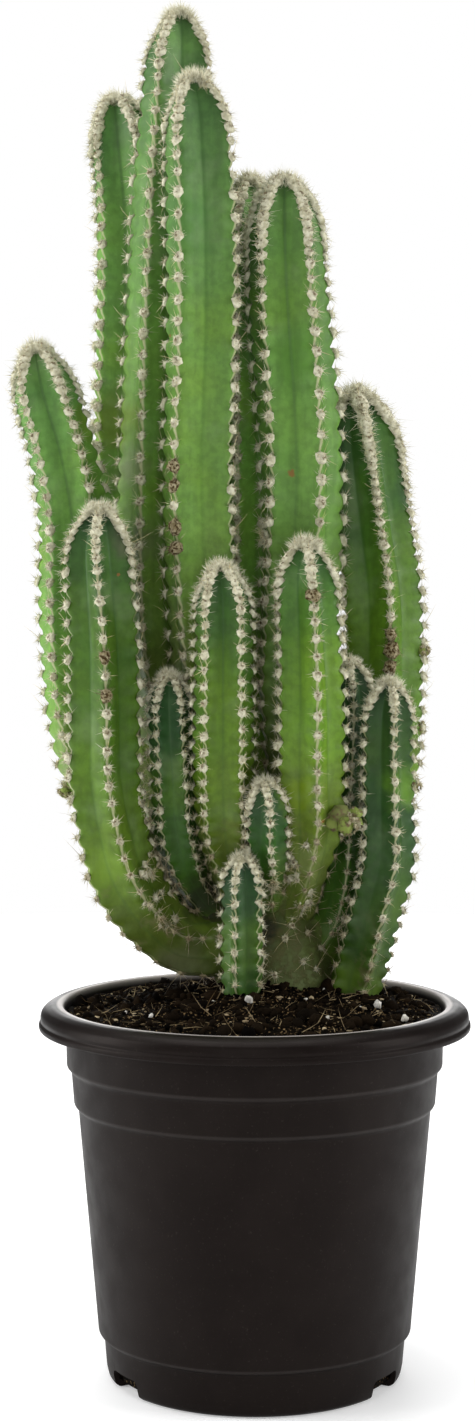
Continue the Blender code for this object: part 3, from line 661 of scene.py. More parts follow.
def face_offsets(radius, relief, groove, half_turn, share):
    """How far out and aside a rib's face lies, a share of the way from its crest to the groove."""
    out = groove * radius * math.cos(half_turn) - radius
    aside = groove * radius * math.sin(half_turn)
    length = np.hypot(out, aside)
    thick = EDGE_THICKNESS * np.minimum(radius / FULL_EDGE_RADIUS, 1.0)
    thick = thick * (1.0 - math.exp(-share / EDGE_RISE)) * math.exp(-(share / EDGE_FALL) ** 2)
    swell = thick * (1.0 + 0.5 * relief / CREST_WAVE) + FACE_BULGE * radius * 4.0 * share * (1.0 - share)
    x = radius + out * share + swell * aside / length + relief * math.exp(-share / WAVE_REACH)
    x = x + GROOVE_FILL * radius * math.exp(-(1.0 - share) / GROOVE_REACH)
    y = aside * share - swell * out / length
    return x[:, None], y[:, None]


def skin_length(stem, line):
    """The length of a stem's skin, which runs down over its arm to the trunk."""
    return line.length - (0.0 if stem.joint is None else ROOT_REACH)


def skin_piece(stem, line, ribs_of_areoles):
    """The fine ribbed skin of one stem."""
    span = skin_length(stem, line)
    rings = np.arange(TIP_RINGS[-1], span, stem.pitch * MM / RINGS_PER_PITCH)[1:]
    to_tip = np.concatenate([TIP_RINGS, rings, [span]])
    distances = line.length - to_tip
    from_foot = distances - stem_foot(stem, line)
    radius = crest_radius(stem, line, distances)
    groove = groove_share(stem, to_tip, from_foot, span)
    half_turn = math.pi / stem.ribs
    columns = []
    shares = []
    for rib in range(stem.ribs):
        beside = (rib + 1) % stem.ribs
        runs = [(rib, 1, FACE_SHARES), (beside, -1, FACE_SHARES[-2:0:-1])]
        for owner, side, run in runs:
            centre, outward, sideways, _ = rib_axes(stem, line, owner, distances)
            relief = crest_relief(stem, line, ribs_of_areoles[owner], to_tip)
            for share in run:
                x, y = face_offsets(radius, relief, groove, half_turn, share)
                columns.append(centre + outward * x + sideways * y * side)
                shares.append(share)
    tip, root = line.points(np.array([line.length, distances[-1]]))
    points, faces = closed_tube(np.stack(columns, axis=1), tip, root)
    rise = np.repeat(1.0 - to_tip / span, len(columns))
    # The stem factor at each point is partly the stem's own tone and partly painted light and painted shade
    values = {"rib": np.concatenate([np.tile(shares, len(to_tip)), [0.5, 0.5]]),
              "rise": np.concatenate([rise, [1.0, 0.0]]),
              "shade": np.full(len(points), STEM_TONE_AND_PAINTED_LIGHT.get(stem.name, 1.0))}
    skin = mesh_object(stem.name.replace("stem", "skin"), points, faces, values=values)
    skin.data.flip_normals()
    return skin


def areole_frames(stem, line, rib, places):
    """Place, outward, lengthwise and sideways directions of the areoles on one rib's crest."""
    def crest(to_tip):
        distances = line.length - to_tip
        centre, outward, sideways, _ = rib_axes(stem, line, rib, distances)
        radius = crest_radius(stem, line, distances) + crest_relief(stem, line, places, to_tip)
        return centre + outward * radius[:, None], outward, sideways

    place, outward, sideways = crest(places)
    upper = crest(np.maximum(places - AREOLE_REACH, 0.0))[0]
    lower = crest(places + AREOLE_REACH)[0]
    along = unit(upper - lower)
    normal = unit(outward - along * np.sum(along * outward, axis=-1, keepdims=True) + along * AREOLE_LEAN)
    return place, normal, along, np.cross(along, normal)


Areoles = namedtuple("Areoles", "place normal along across size age")


def merged(groups):
    """One set of areoles from several."""
    return Areoles(*(np.concatenate(column) for column in zip(*groups)))


def stem_areoles(stem, line, places_of_ribs, source):
    """All the areoles of one stem, with the size of each wool pad and how old and brown it is."""
    span = skin_length(stem, line)
    gain = TIP_TUFT_GAIN + WOOLLY_STEMS.get(stem.name, 0.0)
    groups = []
    for rib, places in enumerate(places_of_ribs):
        kept = places < span - LAST_AREOLE_MARGIN
        place, normal, along, across = (column[kept] for column in areole_frames(stem, line, rib, places))
        places = places[kept]
        low = smooth_step((places / span - LOW_START) / LOW_REACH)
        near_tip = 1.0 - smooth_step(places / (TIP_TUFT_LENGTH * girth(stem)))
        size = PAD_RADIUS * girth(stem) ** 0.5 * (1.0 + (PAD_LOW_SHARE - 1.0) * low)
        size = size * source.uniform(0.78, 1.16, len(places)) * (1.0 + gain * near_tip)
        age = np.clip(YOUNGEST + AGEING * low + source.uniform(-0.15, 0.2, len(places)), 0.0, 1.0)
        age = age * smooth_step(places / FRESH_LENGTH)
        dried = dried_ones(stem, rib, place[:, 2])
        groups.append(Areoles(place, normal, along, across, np.where(dried, size * DRIED_PAD_SHARE, size),
                              np.where(dried, DRIED_AGE, age)))
    return merged(groups)


def dried_ones(stem, rib, heights):
    """Which of a rib's areoles are the dried brown ones."""
    dried = np.zeros(len(heights), dtype=bool)
    for name, owner, marks in DRIED_AREOLES:
        if (name, owner) == (stem.name, rib):
            for mark in marks:
                dried[np.argmin(np.abs(heights - mark * MM))] = True
    return dried


def pad_part(areoles, source):
    """Low wool domes, one to an areole."""
    count = len(areoles.size)
    turn = np.arange(PAD_SIDES) / PAD_SIDES * FULL_TURN
    rings = []
    for radius, height, _ in PAD_LEVELS:
        jitter = 1.0 + source.uniform(-0.26, 0.20, (count, PAD_SIDES))
        rise = height * PAD_SHAPE[2] + source.uniform(-0.12, 0.10, (count, PAD_SIDES))
        rings.append(np.stack([np.cos(turn) * radius * PAD_SHAPE[0] * jitter,
                               np.sin(turn) * radius * PAD_SHAPE[1] * jitter, rise], axis=-1))
    ends = np.zeros((count, 2, 3))
    ends[:, :, 2] = np.array([PAD_TOP, PAD_LEVELS[0][1]]) * PAD_SHAPE[2]
    local = np.concatenate([*rings, ends], axis=1)
    per = local.shape[1]
    levels = len(PAD_LEVELS)
    template = [grid_faces(levels, PAD_SIDES),
                fan_faces((levels - 1) * PAD_SIDES, PAD_SIDES, per - 2, False),
                fan_faces(0, PAD_SIDES, per - 1, True)]
    heart = np.concatenate([np.repeat([brown for _, _, brown in PAD_LEVELS], PAD_SIDES), [1.0, 0.0]])
    values = {"heart": np.tile(heart, count), "age": np.repeat(areoles.age, per)}
    blocks = [repeat_faces(block, count, per) for block in template]
    return to_world(areoles, local).reshape(-1, 3), blocks, values


def repeat_faces(block, count, per):
    """A template's faces, once for each of several copies of its points."""
    offsets = np.arange(count)[:, None, None] * per
    return (np.asarray(block)[None] + offsets).reshape(-1, block.shape[1])


def turned_out(areoles, local):
    """Directions given along, across and out of their areoles, in the part's frame."""
    axes = np.stack([areoles.along, areoles.across, areoles.normal], axis=1)
    return np.einsum("nkc,ncd->nkd", local, axes)


def to_world(areoles, local):
    """Points given as shares of each pad's size, along, across and out of its areole."""
    return areoles.place[:, None, :] + turned_out(areoles, local * areoles.size[:, None, None])


def on_dome(around, lift):
    """Directions from how far round and how far up they point."""
    return np.stack([np.cos(around) * np.cos(lift), np.sin(around) * np.cos(lift), np.sin(lift)], axis=-1)


def needle_part(root, direction, length, thickness, values, bend=None):
    """Closed three-sided needles, one for each root, straight or with a bend on their way."""
    rings = [(0.0, 1.0)] if bend is None else [(0.0, 1.0), NEEDLE_MIDDLE]
    bend = np.zeros_like(root) if bend is None else bend
    root, direction, bend = (array.reshape(-1, 3) for array in (root, direction, bend))
    length, thickness = length.ravel(), thickness.ravel()
    helper = np.where(np.abs(direction[:, 2:3]) > 0.9, [[1.0, 0.0, 0.0]], [[0.0, 0.0, 1.0]])
    first = unit(np.cross(direction, helper))
    second = np.cross(direction, first)
    corners = []
    for share, width in rings:
        middle = root + direction * (length * share)[:, None] + bend * share ** 2
        for corner in range(3):
            angle = FULL_TURN * corner / 3
            offset = first * math.cos(angle) + second * math.sin(angle)
            corners.append(middle + offset * (thickness * width)[:, None])
    corners.append(root + direction * length[:, None] + bend)
    per = len(corners)
    template = [grid_faces(len(rings), 3), fan_faces(per - 4, 3, per - 1, False), np.array([[2, 1, 0]])]
    blocks = [repeat_faces(block, len(root), per) for block in template]
    values = {key: np.repeat(value, per) for key, value in values.items()}
    return np.stack(corners, axis=1).reshape(-1, 3), blocks, values


def wool_hairs(areoles, source):
    """Fine hairs that stand out of every wool pad in all directions."""
    shape = (len(areoles.size), HAIRS_PER_PAD)
    around = source.uniform(0.0, FULL_TURN, shape)
    lift = np.arcsin(source.uniform(0.02, 0.98, shape))
    local = on_dome(around, lift)
    direction = turned_out(areoles, local + source.normal(0.0, HAIR_SCATTER, local.shape))
    direction[..., 2] -= HAIR_DROOP
    root = to_world(areoles, local * HAIR_ROOTS)
    length = source.uniform(0.34, 1.05, shape) + 0.7 * source.uniform(0.0, 1.0, shape) ** 8
    length = areoles.size[:, None] * length
    thickness = HAIR_THICKNESS * source.uniform(0.7, 1.3, shape)
    heart = np.clip(np.sin(lift) ** 3 * source.uniform(0.0, 1.1, shape), 0.0, 1.0)
    values = {"heart": heart, "age": np.repeat(areoles.age, HAIRS_PER_PAD)}
    return needle_part(root, unit(direction), length, thickness, values)


def tip_wool(stem, line, source):
    """The thick cap of upright wool that closes the tip."""
    count = int(TIP_HAIRS[0] + TIP_HAIRS[1] * stem.radius)
    reach = stem.radius * MM * TIP_CAP_SHARE
    tip, along, front, right = line.frames(np.array([line.length]))
    away = reach * np.sqrt(source.uniform(0.0, 1.0, count))
    around = source.uniform(0.0, FULL_TURN, count)
    sideways = front * np.cos(around)[:, None] + right * np.sin(around)[:, None]
    sink = away ** 2 / (stem.radius * MM * TIP_CAP_CURVE)
    root = tip + sideways * away[:, None] - along * (sink + TIP_CAP_SINK)[:, None]
    scatter = source.normal(0.0, HAIR_SCATTER, (count, 3))
    direction = unit(along + sideways * (away / reach * TIP_HAIR_SPREAD)[:, None] + scatter)
    length = source.uniform(*TIP_HAIR_LENGTHS, count) * girth(stem) ** 0.4
    thickness = HAIR_THICKNESS * source.uniform(0.9, 1.5, count)
    return needle_part(root, direction, length, thickness,
                       {"heart": source.uniform(0.0, 0.25, count), "age": np.full(count, 0.05)})


def spine_part(areoles, scale, source):
    """Spines of every areole: short ones spread flat, and a longer one that stands up."""
    shape = (len(areoles.size), SPINES_PER_PAD)
    slot = np.arange(SPINES_PER_PAD)[None, :]
    around = (slot + source.uniform(-0.35, 0.35, shape)) * FULL_TURN / SPINES_PER_PAD
    standing = slot < 1
    lift = np.where(standing, source.uniform(0.6, 1.35, shape), source.uniform(0.10, 0.65, shape))
    direction = unit(turned_out(areoles, on_dome(around, lift)))
    long_share = source.uniform(0.0, 1.0, shape) ** 3
    longer, shorter = (shortest + more * long_share for shortest, more in (LONG_SPINES, SHORT_SPINES))
    grown = SPINE_GROWTH[0] + SPINE_GROWTH[1] * np.minimum(areoles.age[:, None], 1.0)
    length = np.where(standing, longer, shorter) * scale * grown
    root = (areoles.place + areoles.normal * 0.0001)[:, None, :]
    root = root + direction * areoles.size[:, None, None] * SPINE_ROOT_SHARE
    thickness = SPINE_THICKNESS * source.uniform(0.7, 1.25, shape)
    bend = source.normal(0.0, SPINE_BEND, (*shape, 3)) * length[..., None]
    age = np.clip(areoles.age[:, None] * 0.7 + source.uniform(0.0, 0.4, shape), 0.0, 1.0)
    return needle_part(root, direction, length, thickness, {"age": age}, bend)


def feed(tree, socket, value):
    """Links an input to another socket, or sets its value."""
    if isinstance(value, bpy.types.NodeSocket):
        tree.links.new(value, socket)
    else:
        socket.default_value = value


def add_node(tree, kind, inputs, **settings):
    """Adds a node with its settings and its inputs, by name or index."""
    new = tree.nodes.new(f"ShaderNode{kind}")
    for key, value in settings.items():
        setattr(new, key, value)
    for key, value in inputs.items():
        feed(tree, new.inputs[key], value)
    return new


class Look:
    """A material, with short ways to add the nodes that feed its shader."""

    def __init__(self, name):
        self.material = bpy.data.materials.new(name)
        self.material.use_nodes = True
        self.tree = self.material.node_tree
        self.place = self.add("TexCoord", {}, "Object")

    def add(self, kind, inputs, output=0, **settings):
        return add_node(self.tree, kind, inputs, **settings).outputs[output]

    def finish(self, inputs):
        """Feeds the shader's own inputs, and gives the material."""
        shader = self.tree.nodes["Principled BSDF"]
        for key, value in inputs.items():
            feed(self.tree, shader.inputs[key], value)
        return self.material

    def point(self, name):
        """A value that the mesh holds at its points."""
        return self.add("Attribute", {}, "Fac", attribute_name=name)

    def noise(self, scale, detail=3.0, roughness=0.5, place=None):
        """Noise at so many cells a metre."""
        place = self.place if place is None else place
        inputs = {"Vector": place, "Scale": scale, "Detail": detail, "Roughness": roughness}
        return self.add("TexNoise", inputs)

    def ease(self, value, low, high, to_low=0.0, to_high=1.0):
        """A value moved smoothly from one range to another."""
        inputs = {"Value": value, "From Min": low, "From Max": high, "To Min": to_low, "To Max": to_high}
        return self.add("MapRange", inputs, "Result", interpolation_type="SMOOTHSTEP")

    def math(self, operation, first, second=0.0):
        return self.add("Math", {0: first, 1: second}, operation=operation)

    def times(self, first, second):
        return self.math("MULTIPLY", first, second)

    def plus(self, first, second):
        return self.math("ADD", first, second)

    def vector(self, operation, first, second, output=0):
        return self.add("VectorMath", {0: first, 1: second}, output, operation=operation)

    def mix(self, factor, first, second, blend="MIX"):
        """The colour between two colours."""
        first, second = (value if isinstance(value, bpy.types.NodeSocket) else (*value, 1.0)
                         for value in (first, second))
        return self.add("Mix", {0: factor, 6: first, 7: second}, 2, data_type="RGBA", blend_type=blend)

    def ramp(self, value, stops):
        """A colour from its place among stops of (place, colour)."""
        colour_out = self.add("ValToRGB", {"Fac": value}, "Color")
        elements = colour_out.node.color_ramp.elements
        while len(elements) < len(stops):
            elements.new(0.5)
        for element, (place, colour) in zip(elements, stops):
            element.position = place
            element.color = (*colour, 1.0)
        return colour_out

    def bump(self, height, distance, strength=1.0):
        return self.add("Bump", {"Height": height, "Distance": distance, "Strength": strength}, "Normal")

    def near(self, value, middle, reach):
        """One where a value is at a middle, and nothing beyond a reach from it."""
        away = self.math("ABSOLUTE", self.math("SUBTRACT", value, middle))
        return self.ease(away, reach, reach * 0.3)

    def spot(self, across, height, radius, edge):
        """How far a place lies in a mark with an uneven edge, seen from the front."""
        cells, unevenness, full, strength = edge
        flat = self.vector("MULTIPLY", self.place, (1.0, 0.0, 1.0))
        away = self.vector("DISTANCE", flat, (float(AXIS[0]) + across * MM, 0.0, height * MM), "Value")
        uneven = self.ease(self.noise(cells), 0.3, 0.7, -unevenness, unevenness)
        return self.ease(self.plus(away, uneven), radius * MM, radius * MM * full, 0.0, strength)


def skin_material(name, tones):
    """Waxy skin: olive and yellow-green low down, bluer towards the tip, pale along each crest, with painted
    shade in the grooves; some patches and stem factors carry painted light and painted shade.
    """
    look = Look(name)
    rise = look.point("rise")
    rib = look.point("rib")
    drift = look.ease(look.noise(48.0, 2.0), 0.3, 0.7, -0.09, 0.09)
    base = look.ramp(look.plus(rise, drift), tones)
    yellowing = look.times(look.ease(look.noise(31.0, 2.0), 0.50, 0.68, 0.0, 0.42),
                           look.ease(rise, 0.98, 0.66, 0.15, 1.0))
    base = look.mix(yellowing, base, YELLOWED_SKIN)
    mottle = look.ease(look.noise(420.0, 4.0, 0.6), 0.35, 0.65, 0.87, 1.10)
    # The stem factor is partly the stem's own tone and partly painted light and painted shade
    for factor in (mottle, look.point("shade"), SKIN_TINT):
        base = look.mix(1.0, base, factor, "MULTIPLY")
    # Patches of another green, some the skin's own tones, some painted light and painted shade
    for *shape, colour in SKIN_PATCHES_AND_PAINTED_LIGHT:
        base = look.mix(look.spot(*shape, PATCH_EDGE), base, colour)
    stretched = look.vector("MULTIPLY", look.place, (1.0, 1.0, 0.10))
    streaks = look.ease(look.noise(330.0, 3.0, place=stretched), 0.35, 0.65, 0.90, 1.10)
    base = look.mix(1.0, base, streaks, "MULTIPLY")
    bloom = look.ease(look.noise(75.0, 3.0, 0.6), 0.52, 0.74, 0.0, 0.22)
    base = look.mix(bloom, base, WAXY_BLOOM)
    # Painted shade: darkens the groove between two ribs, more towards the tip
    crease_painted_shade = look.times(look.ease(rib, 0.86, 1.0), look.ease(rise, 0.45, 1.0, 0.20, 0.48))
    base = look.mix(crease_painted_shade, base, CREASE_PAINTED_SHADE)
    crest = look.times(look.ease(rib, 0.065, 0.010, 0.0, 0.78), look.ease(rise, 0.05, 0.24, 0.20, 1.0))
    base = look.mix(crest, base, PALE_CREST)
    corky = look.times(look.ease(rise, 0.42, 0.10), look.ease(look.noise(130.0, 5.0, 0.65), 0.56, 0.66))
    base = look.mix(look.times(corky, 0.55), base, CORKY_FOOT)
    for scar in SCARS:
        base = look.mix(look.spot(*scar, SCAR_EDGE), base, SCAR_BROWN)
    pores = look.plus(look.noise(1500.0, 2.0), look.noise(180.0, 2.0))
    return look.finish({
        "Base Color": base,
        "Roughness": look.ease(look.noise(260.0, 3.0), 0.3, 0.7, 0.40, 0.54),
        "Specular IOR Level": 0.24,
        "Subsurface Weight": 0.08,
        "Subsurface Radius": (0.6, 1.0, 0.25),
        "Subsurface Scale": 0.0022,
        "Normal": look.bump(pores, 0.00005, 0.6),
    })


def wool_material():
    """Cream wool, brown at the heart of each pad and on the old ones."""
    look = Look("areole_wool")
    age = look.point("age")
    clumps = look.ease(look.noise(700.0, 3.0), 0.35, 0.65)
    fresh = look.mix(clumps, (0.420, 0.400, 0.275), (0.670, 0.650, 0.500))
    old = look.mix(clumps, (0.230, 0.185, 0.090), (0.480, 0.420, 0.255))
    base = look.mix(look.ease(age, 0.25, 1.0, 0.0, 0.85), fresh, old)
    dots = look.ease(look.noise(1300.0, 2.0), 0.46, 0.60, 0.15, 1.0)
    hearts = look.times(look.ease(look.point("heart"), 0.20, 0.90, 0.0, 0.92), dots)
    base = look.mix(hearts, base, (0.115, 0.082, 0.040))
    dried = look.times(look.ease(age, 1.1, 1.9, 0.0, 0.95), look.ease(dots, 0.1, 1.0, 0.35, 1.0))
    base = look.mix(dried, base, (0.046, 0.027, 0.009))
    return look.finish({"Base Color": base, "Roughness": 0.95, "Specular IOR Level": 0.05})


def spine_material():
    """Pale straw spines that grey with age."""
    look = Look("spine_straw")
    streak = look.ease(look.noise(900.0, 2.0), 0.4, 0.6)
    fresh = look.mix(streak, (0.620, 0.500, 0.240), (0.780, 0.700, 0.440))
    old = look.mix(streak, (0.200, 0.150, 0.100), (0.420, 0.350, 0.240))
    base = look.mix(look.ease(look.point("age"), 0.35, 0.95), fresh, old)
    return look.finish({"Base Color": base, "Roughness": 0.45})


def bark_material():
    """Old corky skin: green where the stems begin, olive and grey-brown towards the trunk, with near-black
    painted shade in two spots at the clump's foot.
    """
    look = Look("corky_skin")
    clouds = look.noise(120.0, 4.0, 0.6)
    base = look.ramp(look.plus(look.point("youth"), look.ease(clouds, 0.3, 0.7, -0.25, 0.25)), BARK_TONES)
    # Painted shade: near-black where the clump's foot lies in deep shade
    for shade_spot in PAINTED_SHADE_SPOTS:
        base = look.mix(look.spot(*shade_spot, PAINTED_SHADE_EDGE), base, (0.012, 0.013, 0.005))
    cracks = look.ease(look.noise(520.0, 6.0, 0.7), 0.42, 0.62)
    base = look.mix(look.times(cracks, 0.45), base, (0.088, 0.066, 0.032))
    return look.finish({
        "Base Color": base,
        "Roughness": look.ease(cracks, 0.0, 1.0, 0.55, 0.85),
        "Specular IOR Level": 0.20,
        "Normal": look.bump(look.plus(cracks, clouds), 0.00025, 0.8),
    })


def nub_material():
    """Dried nubs: yellow-green with brown crust."""
    look = Look("dried_nub")
    crust = look.ease(look.noise(600.0, 5.0, 0.7), 0.48, 0.64)
    fresh = look.mix(look.point("tone"), (0.150, 0.165, 0.045), (0.205, 0.275, 0.045))
    base = look.mix(crust, fresh, (0.130, 0.085, 0.040))
    return look.finish({"Base Color": base, "Roughness": 0.8, "Normal": look.bump(crust, 0.0002, 0.8)})


def peat_material():
    """Damp near-black peat with lighter flecks."""
    look = Look("damp_peat")
    grain = look.noise(700.0, 8.0, 0.7)
    base = look.mix(look.ease(grain, 0.35, 0.70), (0.0003, 0.0002, 0.0001), (0.0050, 0.0032, 0.0016))
    flecks = look.ease(look.noise(1500.0, 2.0), 0.61, 0.69)
    base = look.mix(flecks, base, (0.190, 0.125, 0.060))
    return look.finish({
        "Base Color": base,
        "Roughness": look.ease(grain, 0.3, 0.7, 0.95, 0.6),
        "Specular IOR Level": 0.02,
        "Normal": look.bump(grain, 0.0006),
    })


def crumb_material(name, dark, light):
    """Loose bits on the soil, each with its own tone between two colours."""
    look = Look(name)
    grain = look.ease(look.noise(1500.0, 4.0, 0.6), 0.3, 0.7, 0.75, 1.2)
    base = look.mix(1.0, look.mix(look.point("tone"), dark, light), grain, "MULTIPLY")
    return look.finish({"Base Color": base, "Roughness": 0.9, "Specular IOR Level": 0.03,
                        "Normal": look.bump(grain, 0.0002, 0.7)})


def plastic_material():
    """Satin black-brown moulded plastic: a fine grain, a painted highlight along the rim's inner edge and
    painted highlights at its steps.
    """
    look = Look("satin_plastic")
    clouds = look.ease(look.noise(60.0, 3.0), 0.35, 0.65)
    base = look.mix(clouds, (0.0042, 0.0028, 0.0024), (0.0060, 0.0042, 0.0036))
    dust = look.times(look.ease(look.noise(1700.0, 3.0), 0.62, 0.75), 0.10)
    base = look.mix(dust, base, (0.110, 0.095, 0.080))
    height = look.add("SeparateXYZ", {"Vector": look.place}, "Z")
    flat = look.vector("MULTIPLY", look.place, (1.0, 1.0, 0.0))
    away = look.vector("DISTANCE", flat, tuple(AXIS), "Value")
    # Painted highlights: a pale ring on the rim's inner edge and faint pale lines at the wall's steps
    painted_highlights = look.times(look.near(away, LIP_RADIUS - RIM_HIGHLIGHT_INSET, RIM_HIGHLIGHT_REACH),
                       look.ease(height, *(POT_HEIGHT - depth for depth in RIM_HIGHLIGHT_DEPTHS)))
    for _, step_height, *_ in WALL_STEPS:
        step = look.times(look.near(height, step_height, STEP_HIGHLIGHT_REACH), STEP_HIGHLIGHT_SHARE)
        painted_highlights = look.math("MAXIMUM", painted_highlights, step)
    base = look.mix(painted_highlights, base, (0.330, 0.300, 0.285))
    smears = look.ease(look.noise(140.0, 4.0), 0.3, 0.7, 0.46, 0.55)
    lip = look.ease(height, POT_HEIGHT - LIP_HEIGHT, POT_HEIGHT - LIP_HEIGHT / 2, 1.0, LIP_ROUGHNESS_SHARE)
    return look.finish({
        "Base Color": base,
        "Roughness": look.times(smears, lip),
        "Specular IOR Level": 0.09,
        "Specular Tint": (1.0, 0.86, 0.80, 1.0),
        "Normal": look.bump(look.noise(2600.0, 2.0), 0.000018, 0.7),
    })


def floor_material():
    """A plain pale floor with a faint even grain."""
    look = Look("pale_floor")
    grain = look.ease(look.noise(40.0, 2.0), 0.3, 0.7)
    base = look.mix(grain, (0.800, 0.800, 0.800), (0.820, 0.820, 0.820))
    return look.finish({"Base Color": base, "Roughness": 0.9, "Specular IOR Level": 0.1,
                        "Emission Color": WHITE, "Emission Strength": FLOOR_GLOW})


def dress(piece, material, slot, *nodes):
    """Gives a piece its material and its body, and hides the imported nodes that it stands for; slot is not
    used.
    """
    piece.data.materials.clear()
    piece.data.materials.append(material)
    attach(piece, "root")
    if nodes:
        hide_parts(*nodes)


def dressed_mesh(name, parts, material, slot, smooth=True):
    """One dressed piece from several parts."""
    points, blocks, values = join_parts(parts)
    dress(mesh_object(name, points, blocks, smooth, values), material, slot)


def rounded_profile(points, rounding, steps):
    """A profile of (radius, height) with each corner turned into a small curve."""
    points = [np.array(point) for point in points]
    result = [points[0]]
    for before, corner, after in zip(points, points[1:], points[2:]):
        reach_before = min(rounding, np.linalg.norm(before - corner) * 0.4)
        reach_after = min(rounding, np.linalg.norm(after - corner) * 0.4)
        start = corner + unit(before - corner) * reach_before
        end = corner + unit(after - corner) * reach_after
        for step in range(steps + 1):
            share = step / steps
            result.append(start * (1 - share) ** 2 + corner * 2 * share * (1 - share) + end * share ** 2)
    return result + [points[-1]]


def turned_part(profile, steps):
    """A closed turned mesh from a profile that starts and ends on the axis, down its outer side."""
    profile = np.array(profile)
    turn = np.arange(steps) / steps * FULL_TURN
    radius = profile[1:-1, 0][:, None]
    height = np.repeat(profile[1:-1, 1][:, None], steps, axis=1)
    grid = np.stack([radius * np.cos(turn), radius * np.sin(turn), height], axis=-1)
    points, blocks = closed_tube(grid, (0.0, 0.0, profile[0, 1]), (0.0, 0.0, profile[-1, 1]))
    return points, [block[:, ::-1] for block in blocks]


def apply_modifiers(target):
    """Puts the evaluated mesh in the place of the object's own."""
    evaluated = target.evaluated_get(bpy.context.evaluated_depsgraph_get())
    mesh = bpy.data.meshes.new_from_object(evaluated)
    target.modifiers.clear()
    target.data = mesh


def inner_wall():
    """The pot's inner wall from the floor up, as (radius, height)."""
    points = [(FOOT_PROFILE[-1][0], POT_FLOOR)]
    for low, high, radius_low, radius_high in WALL_STEPS:
        points.append((radius_low - WALL, high))
        points.append((radius_high - WALL, high + (high - low)))
    points.append((BODY_RADIUS - WALL, POT_HEIGHT - LIP_HEIGHT - WALL))
    return points


def pot_profile():
    """The pot's section: floor, inner wall, rolled lip with its skirt, stepped wall and foot."""
    lip = [(LIP_RADIUS - inwards, POT_HEIGHT - down) for inwards, down in LIP_PROFILE]
    wall = []
    for low, high, radius_low, radius_high in reversed(WALL_STEPS):
        wall.append((radius_high, high))
        wall.append((radius_low, low))
    return [(0.0, POT_FLOOR)] + inner_wall() + lip + wall + list(FOOT_PROFILE) + [(0.0, 0.0)]


def notch_cutter(index, angle):
    """An arch with rounded shoulders that runs out through the pot's foot."""
    half = NOTCH_WIDTH / 2
    shoulder = []
    for bend in np.linspace(0.0, math.pi / 2, NOTCH_STEPS):
        shoulder.append((half - NOTCH_ROUNDING * (1.0 - math.cos(bend)),
                         NOTCH_HEIGHT - NOTCH_ROUNDING * (1.0 - math.sin(bend))))
    outline = [(half, -NOTCH_HEIGHT)] + shoulder + [(-x, z) for x, z in reversed(shoulder)]
    outline.append((-half, -NOTCH_HEIGHT))
    count = len(outline)
    turn = math.radians(angle)
    points = []
    for radius in (NOTCH_INNER_RADIUS, NOTCH_OUTER_RADIUS):
        for across, height in outline:
            points.append((radius * math.cos(turn) - across * math.sin(turn),
                           radius * math.sin(turn) + across * math.cos(turn), height))
    ends = [np.arange(count)[None, ::-1], np.arange(count, 2 * count)[None, :]]
    return mesh_object(f"notch_cutter_{index}", points + AXIS, [grid_faces(2, count), *ends], smooth=False)


def build_pot():
    """The moulded pot, turned fine, with rounded drain notches."""
    points, blocks = turned_part(rounded_profile(pot_profile(), CORNER_ROUNDING, CORNER_STEPS), POT_STEPS)
    pot = mesh_object("pot_shell", points + AXIS, blocks)
    make_outward(pot)
    cutters = [notch_cutter(index, angle) for index, angle in enumerate(NOTCH_ANGLES)]
    for cutter in cutters:
        make_outward(cutter)
        boolean = pot.modifiers.new(cutter.name, "BOOLEAN")
        boolean.operation = "DIFFERENCE"
        boolean.object = cutter
    bpy.context.view_layer.update()
    apply_modifiers(pot)
    for cutter in cutters:
        bpy.data.objects.remove(cutter, do_unlink=True)
    pot.data.shade_smooth()
    pot.data.set_sharp_from_angle(angle=math.radians(POT_SHARP_DEGREES))
    dress(pot, plastic_material(), "pot_plastic", "pot")


def make_outward(piece):
    """Turns all the faces of a closed piece outward."""
    mesh = bmesh.new()
    mesh.from_mesh(piece.data)
    bmesh.ops.recalc_face_normals(mesh, faces=mesh.faces)
    mesh.to_mesh(piece.data)
    mesh.free()


def soil_height(x, y):
    """The soil's surface at places round the pot's axis: the mound with several sizes of crumbs."""
    away = (x - MOUND_CENTRE[0]) ** 2 + (y - MOUND_CENTRE[1]) ** 2
    mound = MOUND_HEIGHT * np.exp(-away / (2 * MOUND_SPREAD ** 2))
    (coarse, coarse_height), (lumps, lump_height), (grain, grain_height) = SOIL_RELIEF
    rough = []
    for place in (Vector((px, py, 0.0)) for px, py in zip(x, y)):
        rough.append(noise.noise(place * coarse) * coarse_height
                     + abs(noise.noise(place * lumps + LUMP_SHIFT) * lump_height)
                     + noise.noise(place * grain) * grain_height)
    calm = smooth_step((SOIL_TOP_RADIUS - np.hypot(x, y)) / SOIL_EDGE_CALM)
    return SOIL_EDGE_HEIGHT + mound + np.array(rough) * (SOIL_EDGE_RELIEF + (1.0 - SOIL_EDGE_RELIEF) * calm)


